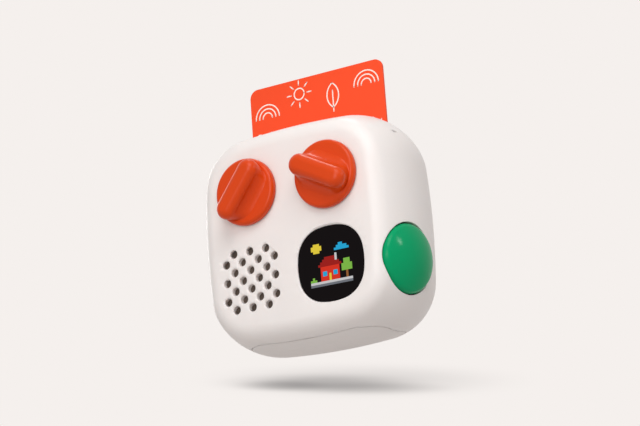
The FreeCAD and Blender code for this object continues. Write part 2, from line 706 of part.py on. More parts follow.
def housing_fittings():
    """Everything that stands on the inner wall of the housing."""
    inner_wall = f"({FRONT} + wall)"
    ring_outer = "speaker_radius + joint_gap + speaker_ring_wall"
    ring = cut("speaker_ring",
               rod("ring_outer", ring_outer, "speaker_ring_height + wall / 2",
                   "-speaker_across", f"{inner_wall} - wall / 2", LOWER_ROW, ALONG_Y),
               [rod("ring_inner", "speaker_radius + joint_gap", "2 * speaker_ring_height",
                    "-speaker_across", inner_wall, LOWER_ROW, ALONG_Y)])
    well = swelled_plate("screen_well", "lens_width / 2", "-(joint_gap + well_wall)",
                         "well_height + wall / 2", "screen_across", f"{inner_wall} + well_height", LOWER_ROW,
                         hollow="-joint_gap")
    posts = [rod(f"board_post_{number}", "post_radius", "board_front - wall / 2", x, BOARD, z, FACING_FRONT)
             for number, (x, z) in enumerate(board_post_places())]
    collar_foot = f"({BUTTON_FOOT} + tab_thickness + joint_gap)"
    collar = button_rod("collar", "collar_radius", TOOL_REACH, collar_foot)
    side_posts = [button_rod(f"side_post_{number}", "side_post_radius", "2 * side_board_depth",
                             SIDE_BOARD, up) for number, up in enumerate(SIDE_POSTS)]
    seat = flat_plate("pad_seat", "pad_width + 2 * pad_seat_wall", "pad_depth + 2 * pad_seat_wall",
                      "pad_corner_radius + pad_seat_wall", "pad_height + pad_seat_wall + base_flat",
                      "0", PAD_CENTRE, "-base_flat")
    return [ring, well, collar, seat] + posts + side_posts + cover_bosses()


def housing_openings():
    """Every hole and slot through the housing."""
    tools = speaker_holes() + screen_cuts()
    for side, x in (("left", "-grid_across"), ("right", "grid_across")):
        tools.append(rod(f"{side}_bushing_hole", "bushing_radius + bushing_gap", "2 * wall",
                         x, f"{FRONT} - wall / 2", KNOB_ROW, ALONG_Y))
    tools.append(button_rod("button_hole", "button_radius + button_gap", TOOL_REACH,
                            f"{BUTTON_FOOT} - button_travel - joint_gap"))
    slot_front = f"{CARD_PLANE} - slot_opening / 2"
    tools.append(block("card_slot", ("card_shift - slot_width / 2", slot_front, f"{MIDDLE} + guide_top"),
                       ("slot_width", "slot_opening", TOOL_REACH)))
    tools.append(flat_plate("pad_recess", "pad_width + 2 * joint_gap", "pad_depth + 2 * joint_gap",
                            "pad_corner_radius + joint_gap", "pad_height + base_flat", "0", PAD_CENTRE,
                            "-base_flat"))
    across_wall = f"-body_width / 2 + {TOOL_REACH} / 2"
    tools.append(side_plate("usb_opening", "usb_width + 2 * socket_gap", "usb_height + 2 * socket_gap",
                            round_end("usb_height + 2 * socket_gap"), TOOL_REACH, across_wall, USB_LINE,
                            f"{MIDDLE} + usb_rise"))
    tools.append(rod("jack_opening", "jack_nose_radius + socket_gap", "3 * wall",
                     "-body_width / 2 - wall / 2", JACK_LINE, f"{MIDDLE} + jack_rise", ALONG_X))
    tools.append(side_plate("power_opening", "power_length + 2 * socket_gap", "power_width + 2 * socket_gap",
                            round_end("power_width + 2 * socket_gap"), TOOL_REACH, across_wall, POWER_LINE,
                            f"{MIDDLE} + power_rise"))
    tools.append(shoulder_slit())
    for number, (x, z) in enumerate(board_post_places()):
        tools.append(rod(f"post_hole_{number}", "screw_radius", "screw_bite + joint_gap",
                         x, BOARD, z, FACING_FRONT))
    for number, up in enumerate(SIDE_POSTS):
        tools.append(button_rod(f"side_post_hole_{number}", "screw_radius", "screw_bite + joint_gap",
                                SIDE_BOARD, up))
    for number, (right, up) in enumerate(QUARTERS):
        tools.append(rod(f"boss_hole_{number}", "cover_screw_radius", "boss_length - wall / 2",
                         f"{right} * boss_spread", BOSS_TOP, f"{MIDDLE} + {up} * boss_spread", FACING_FRONT))
    return tools


USB_LINE = f"({BOARD} - usb_height / 2)"
JACK_LINE = f"({BOARD} - jack_body_height / 2)"
POWER_LINE = f"({BOARD} - power_width / 2)"


def shoulder_slit():
    """A short slit along the depth of the case, square to the right shoulder."""
    slit = doc.addObject("Part::Box", "shoulder_slit")
    bind(slit, "Length", "4 * slit_depth")
    bind(slit, "Width", "slit_length")
    bind(slit, "Height", "slit_width")
    lean = math.radians(size("slit_angle"))
    radius = size("outline_corner_radius")
    centre = swelled_square(size("body_width") / 2, size("outline_side_radius"), radius)[1][0]
    reach = radius - side_at(size("slit_place")) - size("slit_depth")
    x = centre.x + reach * math.cos(lean)
    z = centre.y + reach * math.sin(lean) + evaluate(MIDDLE)
    turn = Rotation(Vector(0, 1, 0), -math.degrees(lean))
    middle = turn.multVec(Vector(0, size("slit_length") / 2, size("slit_width") / 2))
    slit.Placement = Placement(Vector(x, evaluate(f"{FRONT} + slit_place"), z) - middle, turn)
    return slit


def front_housing(shell, middle_of_wall):
    """The deep shell, with what stands inside it rooted in the middle of its wall."""
    fittings = overlap("fitted", join("fittings", housing_fittings()), middle_of_wall)
    walls = cut("walls", shell, [behind_joint("rear_zone")])
    whole = join("housing_blank", [walls, fittings])
    return cut("front_housing", whole, housing_openings() + [under_foot("below_foot")])


def rear_cover(shell, middle_of_wall):
    """The dish that closes the back: a tongue, ribs for the battery and recessed screw tubes."""
    dish = overlap("cover_dish", shell, behind_joint("cover_zone"))
    lip_inset = f"({cavity_side_at(size('parting_depth')):.6f} + joint_gap)"
    tongue = new_body("tongue")
    sketch = sketch_on(tongue, "XY_Plane", "tongue_outline")
    for inset in (lip_inset, f"({lip_inset} + tongue_wall)"):
        draw_swelled_square(sketch, "body_width / 2", "outline_side_radius", "outline_corner_radius", inset)
    pad(tongue, sketch, "2 * tongue_height", "tongue_pad")
    put(tongue, "0", f"{BOSS_TOP} + tongue_height", MIDDLE, FACING_FRONT)
    inner_back = f"({BACK} - wall)"
    outer_ribs = upright_plate("ribs_outer", "battery_width + 2 * (joint_gap + rib_wall)",
                               "battery_height + 2 * (joint_gap + rib_wall)", "rib_wall",
                               "rib_height + wall / 2", "0", f"{inner_back} + wall / 2", MIDDLE)
    pocket = upright_plate("ribs_inner", "battery_width + 2 * joint_gap", "battery_height + 2 * joint_gap",
                           "joint_gap", "2 * rib_height", "0", inner_back, MIDDLE)
    ribs = cut("battery_ribs", outer_ribs, [pocket])
    tubes = [rod(f"cover_tube_{number}", "boss_radius", "body_depth - parting_depth",
                 f"{right} * boss_spread", BOSS_TOP, f"{MIDDLE} + {up} * boss_spread", ALONG_Y)
             for number, (right, up) in enumerate(QUARTERS)]
    fittings = overlap("cover_fittings", join("cover_inside", [ribs, tongue] + tubes), middle_of_wall)
    tools = []
    for number, (right, up) in enumerate(QUARTERS):
        x, z = f"{right} * boss_spread", f"{MIDDLE} + {up} * boss_spread"
        tools.append(rod(f"cover_hole_{number}", "cover_screw_radius + screw_clearance", "body_depth / 4",
                         x, BOSS_TOP, z, ALONG_Y))
        tools.append(rod(f"cover_sink_{number}", "cover_head_radius + screw_clearance",
                         "2 * cover_screw_sink", x, f"{BACK} - cover_screw_sink", z, ALONG_Y))
    return cut("rear_cover", join("cover_blank", [dish, fittings]), tools)


def foot_pad():
    blank = flat_plate("pad_blank", "pad_width", "pad_depth", "pad_corner_radius", "pad_height + base_flat",
                       "0", PAD_CENTRE, "-base_flat")
    shaped = overlap("pad_shaped", blank, doc.getObject("case_form"))
    return cut("foot_pad", shaped, [under_foot("below_pad")])


# ---- knobs ----------------------------------------------------------------

def knob_turn(angle):
    """Local z points out of the front face, local x along the finger bar."""
    lean = math.radians(size(angle))
    along = Vector(math.cos(lean), 0, math.sin(lean))
    across = Vector(-math.sin(lean), 0, math.cos(lean))
    return Rotation(along, across, Vector(0, -1, 0), "ZXY")


def shaft_tool(name, radius, bottom, top, flat):
    """A keyed shaft, or the hole for it: a cylinder with a flat on one side from the case outwards."""
    cylinder = rod(name + "_round", radius, f"{top} - {bottom}", z=bottom)
    key = block(name + "_key", (f"-2 * {radius}", flat, "0"),
                (f"4 * {radius}", f"2 * {radius}", f"2 * {top}"))
    return cut(name, cylinder, [key])


def draw_slot(sketch, length, width):
    """A centred slot along x: two arcs joined by two lines."""
    run, radius = (evaluate(length) - evaluate(width)) / 2, evaluate(width) / 2
    quarter = math.pi / 2
    right = Part.Circle(Vector(run, 0, 0), Vector(0, 0, 1), radius)
    left = Part.Circle(Vector(-run, 0, 0), Vector(0, 0, 1), radius)
    sketch.addGeometry(Part.ArcOfCircle(right, -quarter, quarter))
    sketch.addGeometry(Part.LineSegment(Vector(run, radius, 0), Vector(-run, radius, 0)))
    sketch.addGeometry(Part.ArcOfCircle(left, quarter, 3 * quarter))
    sketch.addGeometry(Part.LineSegment(Vector(-run, -radius, 0), Vector(run, -radius, 0)))
    for index in range(4):
        sketch.addConstraint(Sketcher.Constraint("Tangent", index, 2, (index + 1) % 4, 1))
    sketch.addConstraint(Sketcher.Constraint("Radius", 0, radius))
    bind(sketch, f"Constraints[{sketch.ConstraintCount - 1}]", f"({width}) / 2")


def edges_at(shape, height, tolerance=0.01):
    """Names of the edges that lie whole at a height above the shape's own XY plane."""
    return [f"Edge{number}" for number, edge in enumerate(shape.Edges, start=1)
            if abs(edge.BoundBox.ZMin - height) < tolerance and abs(edge.BoundBox.ZMax - height) < tolerance]


def knob(side, x, angle):
    """A disc with a rounded finger bar across it, and a flared skirt where the bar grows out of the disc."""
    body = new_body(side + "_knob_form")
    disc_sketch = sketch_on(body, "XY_Plane", side + "_disc_outline")
    circle = disc_sketch.addGeometry(Part.Circle(Vector(), Vector(0, 0, 1), size("knob_radius")))
    disc_sketch.addConstraint(Sketcher.Constraint("Radius", circle, size("knob_radius")))
    bind(disc_sketch, "Constraints[0]", "knob_radius")
    disc = pad(body, disc_sketch, "knob_disc_height", side + "_disc")
    doc.recompute()
    rim = body.newObject("PartDesign::Fillet", side + "_disc_rim")
    rim.Base = (disc, edges_at(disc.Shape, size("knob_disc_height")))
    bind(rim, "Radius", "knob_rim_round")

    sections = []
    flare = "(skirt_width - grip_width)"
    stages = (("0", "skirt_length", "skirt_width"),
              ("skirt_waist_rise", "(skirt_length + grip_length) / 2", f"grip_width + skirt_waist * {flare}"),
              ("skirt_height", "grip_length", "grip_width"))
    for number, (rise, length, width) in enumerate(stages):
        sketch = sketch_on(body, "XY_Plane", f"{side}_skirt_{number}")
        draw_slot(sketch, length, width)
        bind(sketch, "AttachmentOffset.Base.z", f"knob_disc_height + {rise}")
        sections.append(sketch)
    skirt = body.newObject("PartDesign::AdditiveLoft", side + "_skirt")
    skirt.Profile = sections[0]
    skirt.Sections = sections[1:]

    grip_sketch = sketch_on(body, "XY_Plane", side + "_grip_outline")
    draw_slot(grip_sketch, "grip_length", "grip_width")
    skirt_top = "(knob_disc_height + skirt_height)"
    grip = pad(body, grip_sketch, f"knob_height - {skirt_top}", side + "_grip", skirt_top)
    doc.recompute()
    crown = body.newObject("PartDesign::Fillet", side + "_grip_crown")
    crown.Base = (grip, edges_at(grip.Shape, size("knob_height")))
    bind(crown, "Radius", "grip_top_round")
    turn = knob_turn(angle)
    put(body, x, f"{FRONT} - knob_gap", KNOB_ROW, turn)
    bore = shaft_tool(side + "_shaft_bore", "(shaft_radius + shaft_fit)", "-knob_gap",
                      "(shaft_reach + joint_gap)", "shaft_radius - shaft_flat + shaft_fit")
    put(bore, x, FRONT, KNOB_ROW, turn)
    return cut(side + "_knob", body, [bore])


def shaft(side, x, angle):
    keyed = shaft_tool(side + "_shaft", "shaft_radius", "(-board_front + board_thickness / 2)", "shaft_reach",
                       "shaft_radius - shaft_flat")
    return put(keyed, x, FRONT, KNOB_ROW, knob_turn(angle))


def encoder(side, x):
    """The body and threaded bushing that carry a knob's shaft."""
    case = block(side + "_encoder_case",
                 (f"{x} - encoder_width / 2", f"{BOARD} - encoder_height", f"{KNOB_ROW} - encoder_width / 2"),
                 ("encoder_width", "encoder_height", "encoder_width"))
    bushing = rod(side + "_bushing", "bushing_radius", "board_front - encoder_height - wall / 4",
                  x, f"{BOARD} - encoder_height", KNOB_ROW, FACING_FRONT)
    bore = rod(side + "_encoder_bore", "shaft_radius + shaft_fit", "board_front",
               x, BOARD, KNOB_ROW, FACING_FRONT)
    return cut(side + "_encoder", join(side + "_encoder_blank", [case, bushing]), [bore])


# ---- screen ---------------------------------------------------------------

LENS_BACK = f"({FRONT} + lens_sink + lens_thickness)"
SCREEN_FRONT = f"({LENS_BACK} + gasket_thickness)"
SCREEN_BACK = f"({SCREEN_FRONT} + screen_thickness)"


def screen_lens():
    return swelled_plate("screen_lens", "lens_width / 2", "0", "lens_thickness",
                         "screen_across", LENS_BACK, LOWER_ROW)


def screen_gasket():
    return swelled_plate("screen_gasket", "lens_width / 2", "0", "gasket_thickness",
                         "screen_across", SCREEN_FRONT, LOWER_ROW, hollow="gasket_band")


def screen_module():
    return upright_plate("screen_module", "screen_width", "screen_width", "screen_corner_radius",
                         "screen_thickness", "screen_across", SCREEN_BACK, LOWER_ROW)


def screen_holder():
    """An open frame that props the screen off the main board."""
    depth = "(board_front - lens_sink - lens_thickness - gasket_thickness - screen_thickness)"
    inner_width = "(holder_width - 2 * holder_wall)"
    outer = upright_plate("holder_outer", "holder_width", "holder_width", "holder_wall", depth,
                          "screen_across", BOARD, LOWER_ROW)
    inner = upright_plate("holder_inner", inner_width, inner_width, "screen_corner_radius",
                          "2 * board_front", "screen_across", f"{BOARD} + wall", LOWER_ROW)
    return cut("screen_holder", outer, [inner])


# ---- loudspeaker ----------------------------------------------------------

CLOTH_BACK = f"({FRONT} + wall + cloth_thickness)"
BASKET_DEPTH = "(speaker_depth - cloth_thickness - magnet_height)"


def speaker_cloth():
    return rod("speaker_cloth", "cloth_radius", "cloth_thickness", "-speaker_across", f"{FRONT} + wall",
               LOWER_ROW, ALONG_Y)


def speaker_frame():
    """A pressed basket: flat rim, slanted wall and a floor with a hole for the voice coil."""
    rim = "(speaker_radius - speaker_rim)"
    basket = turned("speaker_frame", lines((
        (rim, "0"), ("speaker_radius", "0"), ("speaker_radius", "speaker_sheet"),
        (f"{rim} + speaker_sheet", "speaker_sheet"), ("magnet_radius + speaker_sheet", BASKET_DEPTH),
        ("coil_radius", BASKET_DEPTH), ("coil_radius", f"{BASKET_DEPTH} - speaker_sheet"),
        ("magnet_radius", f"{BASKET_DEPTH} - speaker_sheet"), (rim, "speaker_sheet"))))
    return put(basket, "-speaker_across", CLOTH_BACK, LOWER_ROW, ALONG_Y)


def speaker_cone():
    rim = "(speaker_radius - speaker_rim)"
    floor = f"({BASKET_DEPTH} - 3 * speaker_sheet)"
    cone = turned("speaker_cone", lines((
        ("0", f"{floor} - cone_sheet"), ("coil_radius", f"{floor} - cone_sheet"), (rim, "0"),
        (rim, "cone_sheet"), ("coil_radius", floor), ("0", floor))))
    return put(cone, "-speaker_across", CLOTH_BACK, LOWER_ROW, ALONG_Y)


def speaker_magnet():
    return rod("speaker_magnet", "magnet_radius", "magnet_height", "-speaker_across",
               f"{CLOTH_BACK} + {BASKET_DEPTH}", LOWER_ROW, ALONG_Y)


# ---- play button ----------------------------------------------------------

def dome_edges(radius, crown, edge):
    """Crown and edge arcs of a dome over a flat rim, from its top down to its rim."""
    reach = radius - edge
    swell = (reach ** 2 + crown ** 2 - edge ** 2) / (2 * (crown - edge))
    lean = math.asin(reach / (swell - edge))
    rim = evaluate(BUTTON_RIM)
    top = Part.Circle(Vector(0, rim + crown - swell, 0), Vector(0, 0, 1), swell)
    side = Part.Circle(Vector(reach, rim, 0), Vector(0, 0, 1), edge)
    quarter = math.pi / 2
    return Part.ArcOfCircle(top, quarter - lean, quarter), Part.ArcOfCircle(side, 0, quarter - lean)


def play_button():
    """A domed cap with a straight skirt, a stem that meets the switch and two tabs that hold it in."""
    radius, wall, foot = size("button_radius"), size("button_wall"), evaluate(BUTTON_FOOT)
    crown, edge, rim = size("button_dome"), size("button_edge_round"), evaluate(BUTTON_RIM)
    outer_top, outer_side = dome_edges(radius, crown, edge)
    roof, inner_radius = rim + crown - wall, radius - wall
    corners = [outer_top.EndPoint, Vector(0, roof, 0), Vector(radius / 3, roof - wall / 4, 0),
               Vector(inner_radius - edge / 2, roof - wall, 0), Vector(inner_radius, rim, 0),
               Vector(inner_radius, foot, 0), Vector(radius, foot, 0), outer_side.StartPoint]
    outline = [outer_side, outer_top]
    outline += [Part.LineSegment(start, end) for start, end in zip(corners, corners[1:])]
    cap = on_button_axis(turned("button_cap", outline))
    stem = button_rod("button_stem", "button_stem_radius", "button_skirt + button_dome - button_wall / 2",
                      BUTTON_FOOT)
    tabs = [button_tab(f"button_tab_{number}", half_turn) for number, half_turn in enumerate((0, 180))]
    return join("play_button", [cap, stem] + tabs)


def button_tab(name, half_turn):
    """A tab that reaches out under the collar, at its own angle about the button's axis."""
    tab_start = size("button_radius") - size("button_wall")
    tab = button_block(name, ("0", "0", BUTTON_FOOT),
                       ("tab_width", f"tab_reach - {tab_start}", "tab_thickness"))
    spin = Placement(Vector(), Rotation(Vector(0, 0, 1), half_turn + size("tab_turn")))
    start = Placement(Vector(-size("tab_width") / 2, tab_start, 0), UPRIGHT)
    tab.Placement = tab.Placement * spin * start
    return tab


def side_board():
    """The small board that carries the play button's switch."""
    inner_face = f"({SIDE_BOARD} - side_board_thickness)"
    plate = button_block("side_board_blank", ("-side_board_front", "-side_board_half_height", inner_face),
                         ("side_board_front + side_board_back", "2 * side_board_half_height",
                          "side_board_thickness"))
    holes = [button_rod(f"side_board_hole_{number}", "screw_radius", "3 * side_board_thickness",
                        f"{inner_face} - side_board_thickness", up) for number, up in enumerate(SIDE_POSTS)]
    return cut("side_board", plate, holes)


def button_switch():
    case = button_block("switch_case", ("-switch_width / 2", "-switch_width / 2", SIDE_BOARD),
                        ("switch_width", "switch_width", "switch_height"))
    plunger = button_rod("switch_plunger", "plunger_radius", "switch_height + plunger_height", SIDE_BOARD)
    return join("button_switch", [case, plunger])


def return_dome():
    """A rubber cone over the switch that lifts the play button back."""
    top = f"({BUTTON_FOOT} - joint_gap / 2)"
    dome = turned("return_dome", lines((
        ("0", f"{top} - dome_wall"), ("dome_top_radius - dome_wall", f"{top} - dome_wall"),
        ("dome_foot_radius - dome_wall", SIDE_BOARD), ("dome_foot_radius", SIDE_BOARD),
        ("dome_top_radius", top), ("0", top))))
    return on_button_axis(dome)


# ---- boards, card and power ----------------------------------------------

def main_board():
    plate = upright_plate("board_blank", f"({BOARD_RIGHT} - {BOARD_LEFT})", f"(2 * {BOARD_HALF_HEIGHT})",
                          "board_corner_radius", "board_thickness", f"({BOARD_RIGHT} + {BOARD_LEFT}) / 2",
                          f"{BOARD} + board_thickness", MIDDLE)
    holes = [rod(f"board_hole_{number}", "screw_radius", "3 * board_thickness", x,
                 f"{BOARD} - board_thickness", z, ALONG_Y)
             for number, (x, z) in enumerate(board_post_places() + guide_foot_places())]
    return cut("main_board", plate, holes)


def guide_foot_places():
    """Where the card guide's feet stand on the main board, (x, z)."""
    return tuple((x, f"{MIDDLE} + {up} * foot_rise")
                 for up in (1, -1) for x in ("(-foot_left)", "(foot_right)"))


def board_parts():
    """The packages soldered to the back of the main board."""
    back = f"{BOARD} + board_thickness"
    shield = block("shield_can", ("-shield_width", back, f"{MIDDLE}"),
                   ("shield_width", "shield_height", "shield_width"))
    chip = block("large_chip", ("chip_gap", back, f"{MIDDLE} - chip_width"),
                 ("chip_width", "chip_height", "chip_width"))
    step = "(small_chip_width + 2 * chip_gap)"
    small = [block(f"small_chip_{number}", (f"-{number} * {step}", back, f"{MIDDLE} - chip_width"),
                   ("small_chip_width", "chip_height", "small_chip_width")) for number in (1, 2)]
    return group("board_parts", [shield, chip] + small)


def card_guide():
    """A flat pocket that the card drops into, on four feet, with a window in its front wall."""
    pocket_width = "(card_width + 2 * guide_side_gap)"
    pocket_corner = "(card_corner_radius + guide_side_gap)"
    outer_corner = f"({pocket_corner} + guide_wall)"
    front, back = f"({CARD_PLANE} - guide_opening / 2)", f"({CARD_PLANE} + guide_opening / 2)"
    floor = f"({CARD_BOTTOM} - card_rest_gap)"
    mouth = f"({MIDDLE} + guide_top)"
    top = f"({mouth} + {outer_corner})"
    case = upright_plate("guide_case", f"{pocket_width} + 2 * guide_wall", f"{top} - {floor} + guide_wall",
                         outer_corner, "guide_opening + 2 * guide_wall", "card_shift", f"{back} + guide_wall",
                         f"({top} + {floor} - guide_wall) / 2")
    pocket = upright_plate("guide_pocket", pocket_width, f"{top} - {floor}", pocket_corner, "guide_opening",
                           "card_shift", back, f"({top} + {floor}) / 2")
    over = block("over_mouth", ("-body_width / 2", FRONT, mouth),
                 ("body_width", "body_depth", f"2 * {outer_corner}"))
    board_back = f"({BOARD} + board_thickness)"
    feet = [rod(f"guide_foot_{number}", "foot_radius", GUIDE_FOOT, x, board_back, z, ALONG_Y)
            for number, (x, z) in enumerate(guide_foot_places())]
    window = block("guide_window", ("card_shift - guide_window_width / 2", f"{front} - 2 * guide_wall",
                                    f"{MIDDLE} - guide_window_height / 2"),
                   ("guide_window_width", "2.5 * guide_wall", "guide_window_height"))
    screw_holes = [rod(f"foot_hole_{number}", "screw_radius", f"{GUIDE_FOOT} - guide_wall",
                       x, board_back, z, ALONG_Y)
                   for number, (x, z) in enumerate(guide_foot_places())]
    return cut("card_guide", join("guide_blank", [case] + feet), [pocket, over, window] + screw_holes)


GUIDE_FOOT = "(card_depth - guide_opening / 2 - guide_wall - board_front - board_thickness)"


def reader_board():
    back = f"{CARD_PLANE} + guide_opening / 2 + guide_wall + reader_thickness"
    return upright_plate("reader_board", "reader_width", "reader_height", "guide_wall", "reader_thickness",
                         "card_shift", back, MIDDLE)


def story_card():
    return upright_plate("story_card", "card_width", "card_height", "card_corner_radius",
                         "card_thickness", "card_shift", f"{CARD_PLANE} + card_thickness / 2",
                         f"{CARD_BOTTOM} + card_height / 2")


def battery():
    return upright_plate("battery", "battery_width", "battery_height", "battery_round", "battery_thickness",
                         "0", f"{BACK} - wall - tape_thickness", MIDDLE)


def battery_tape():
    return upright_plate("battery_tape", "battery_width - 4 * rib_wall", "battery_height - 4 * rib_wall",
                         "joint_gap", "tape_thickness", "0", f"{BACK} - wall", MIDDLE)


def usb_socket():
    """A drawn-steel shell, open at its mouth, with the contact tongue inside."""
    tail = f"({USB_MOUTH} + usb_length)"
    z = f"{MIDDLE} + usb_rise"
    shell = side_plate("usb_shell_blank", "usb_width", "usb_height", round_end("usb_height"), "usb_length",
                       tail, USB_LINE, z)
    hollow = side_plate("usb_hollow", "usb_width - 2 * usb_shell", "usb_height - 2 * usb_shell",
                        round_end("usb_height - 2 * usb_shell"), "usb_length",
                        f"{tail} - usb_floor", USB_LINE, z)
    tongue = side_plate("usb_tongue", "usb_width - 2 * (usb_shell + usb_tongue_gap)", "usb_tongue",
                        round_end("usb_tongue"), "usb_tongue_length", tail, USB_LINE, z)
    return join("usb_socket", [cut("usb_case", shell, [hollow]), tongue])


def headphone_socket():
    z = f"{MIDDLE} + jack_rise"
    case = block("jack_case", (f"{JACK_MOUTH} + jack_nose_length", f"{BOARD} - jack_body_height",
                               f"{z} - jack_body_width / 2"),
                 ("jack_body_length", "jack_body_height", "jack_body_width"))
    nose = rod("jack_nose", "jack_nose_radius - socket_gap", "jack_nose_length + wall / 2", JACK_MOUTH,
               JACK_LINE, z, ALONG_X)
    bore = rod("jack_bore", "jack_radius", "jack_body_length", f"{JACK_MOUTH} - wall", JACK_LINE, z, ALONG_X)
    return cut("headphone_socket", join("jack_blank", [case, nose]), [bore])


def power_button():
    """A small cap that slides in the wall, with a flange behind the wall that keeps it in."""
    z = f"{MIDDLE} + power_rise"
    inner = f"({POWER_FACE} + power_stem)"
    cap = side_plate("power_cap", "power_length", "power_width", round_end("power_width"), "power_stem",
                     inner, POWER_LINE, z)
    flange = side_plate("power_flange_plate", "power_length + 2 * power_flange",
                        "power_width + 2 * power_flange", round_end("power_width"), "power_flange",
                        inner, POWER_LINE, z)
    return join("power_button", [cap, flange])


def power_switch():
    """A switch whose stub the pressed button all but touches."""
    z = f"{MIDDLE} + power_rise"
    tip = f"({POWER_FACE} + power_stem + power_travel + power_stub_gap)"
    case = block("power_switch_case", (f"{tip} + power_stub_reach", f"{BOARD} - power_width",
                                       f"{z} - power_length / 2"),
                 ("power_switch_length", "power_width", "power_length"))
    stub = block("power_switch_stub", (tip, f"{POWER_LINE} - power_stub / 2", f"{z} - power_stub / 2"),
                 ("power_stub_reach + joint_gap", "power_stub", "power_stub"))
    return join("power_switch", [case, stub])


# ---- screws ---------------------------------------------------------------

def screw(name, shank_radius, shank_length, head_radius, head_height, x, y, z, turn):
    """Head at the seat, shank along the turn's own axis, head the other way."""
    shank = rod(name + "_shank", shank_radius, shank_length)
    head = rod(name + "_head", head_radius, head_height, z=f"-{head_height}")
    return put(join(name, [shank, head]), x, y, z, turn)


def small_screws(name, places, length, y, turn):
    return group(name, [screw(f"{name}_{number}", "screw_radius", length, "screw_head_radius",
                              "screw_head_height", x, y, z, turn) for number, (x, z) in enumerate(places)])


def board_screws():
    return small_screws("board_screws", board_post_places(), "board_thickness + screw_bite",
                        f"{BOARD} + board_thickness", FACING_FRONT)


def guide_screws():
    length = f"board_thickness + {GUIDE_FOOT} - 2 * guide_wall"
    return small_screws("guide_screws", guide_foot_places(), length, BOARD, ALONG_Y)


def side_board_screws():
    screws = []
    for number, up in enumerate(SIDE_POSTS):
        name = f"side_screw_{number}"
        shank = rod(name + "_shank", "screw_radius", "side_board_thickness + screw_bite")
        head = rod(name + "_head", "screw_head_radius", "screw_head_height", z="-screw_head_height")
        bottom = evaluate(f"{SIDE_BOARD} - side_board_thickness")
        screws.append(on_button_axis(join(name, [shank, head]), bottom, evaluate(up)))
    return group("side_board_screws", screws)


def cover_screws():
    return group("cover_screws", [
        screw(f"cover_screw_{number}", "cover_screw_radius", "cover_screw_length", "cover_head_radius",
              "cover_head_height", f"{right} * boss_spread", f"{BACK} - cover_screw_sink",
              f"{MIDDLE} + {up} * boss_spread", FACING_FRONT)
        for number, (right, up) in enumerate(QUARTERS)])


def build():
    shell = case_shell()
    middle_of_wall = pebble("middle_of_wall", "(wall / 2)", ROOT_FACETS)
    pieces = [front_housing(shell, middle_of_wall), rear_cover(shell, middle_of_wall), foot_pad()]
    for side, x in (("left", "-grid_across"), ("right", "grid_across")):
        angle = side + "_grip_angle"
        pieces += [knob(side, x, angle), shaft(side, x, angle), encoder(side, x)]
    pieces += [screen_lens(), screen_gasket(), screen_module(), screen_holder()]
    pieces += [speaker_cloth(), speaker_frame(), speaker_cone(), speaker_magnet()]
    pieces += [play_button(), side_board(), button_switch(), return_dome()]
    pieces += [main_board(), board_parts(), card_guide(), reader_board(), story_card()]
    pieces += [battery(), battery_tape(), usb_socket(), headphone_socket(), power_button(), power_switch()]
    pieces += [board_screws(), guide_screws(), side_board_screws(), cover_screws()]
    return pieces


def check(pieces):
    """Stop with a plain message if anything in the document failed, before a file is written."""
    failed = [thing.Name for thing in doc.Objects if {"Invalid", "Error"} & set(thing.State)]
    failed += [piece.Name for piece in pieces if piece.Shape.isNull() or not piece.Shape.isValid()]
    if failed:
        raise RuntimeError("these failed: " + ", ".join(failed))


def export(pieces):
    os.makedirs("parts", exist_ok=True)
    for piece in pieces:
        piece.Label = piece.Name
        piece.Shape.exportStep(f"parts/{piece.Name}.step")


fill_sheet()
parts = build()
doc.recompute()
check(parts)
export(parts)
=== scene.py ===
"""Dress an audio story player: moulded finishes, a printed card, a pixel screen and a pale studio."""
import json
import math

import bmesh
import bpy
from bpy.props import FloatProperty, FloatVectorProperty, PointerProperty
from bpy.types import Operator, Panel, PropertyGroup
from mathutils import Matrix, Vector


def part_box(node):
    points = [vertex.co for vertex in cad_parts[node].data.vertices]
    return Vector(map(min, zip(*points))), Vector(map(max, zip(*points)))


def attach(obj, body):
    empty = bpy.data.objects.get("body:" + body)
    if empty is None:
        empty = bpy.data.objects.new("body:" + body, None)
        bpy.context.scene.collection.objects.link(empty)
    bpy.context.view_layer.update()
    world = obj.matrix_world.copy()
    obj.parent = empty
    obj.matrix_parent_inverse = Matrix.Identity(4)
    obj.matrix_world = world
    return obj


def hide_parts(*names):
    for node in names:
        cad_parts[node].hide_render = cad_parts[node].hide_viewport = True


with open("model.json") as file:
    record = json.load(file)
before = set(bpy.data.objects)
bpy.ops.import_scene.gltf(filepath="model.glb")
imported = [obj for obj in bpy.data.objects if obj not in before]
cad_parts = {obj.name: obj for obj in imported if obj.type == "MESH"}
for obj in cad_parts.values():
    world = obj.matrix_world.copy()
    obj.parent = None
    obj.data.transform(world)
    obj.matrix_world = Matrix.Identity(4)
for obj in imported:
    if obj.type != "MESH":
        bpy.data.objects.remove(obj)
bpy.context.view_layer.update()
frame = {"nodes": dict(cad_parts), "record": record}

bl_info = {
    "name": "Story Player Dresser",
    "version": (1, 0, 0),
    "blender": (4, 5, 0),
    "location": "View3D > Sidebar > Story Player",
    "description": "Gives a card-fed audio story player its finishes, screen picture, card print and studio",
    "category": "Object",
}

MM = 0.001
WELD = 0.001 * MM  # corners that lie closer than this are one corner
BODY_OF = {node: body for body, nodes in frame["record"]["behaviour"]["bodies"].items() for node in nodes}
LENS_LOW, LENS_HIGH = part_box("screen_lens")
CARD_LOW, CARD_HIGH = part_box("story_card")
HOUSING_LOW, HOUSING_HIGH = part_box("front_housing")


# ---- sizes and colours that a user would change ---------------------------

def linear(red, green, blue):
    """Scene-linear colour from three 0-255 screen values."""
    def channel(value):
        share = value / 255
        return share / 12.92 if share <= 0.04045 else ((share + 0.055) / 1.055) ** 2.4
    return channel(red), channel(green), channel(blue)


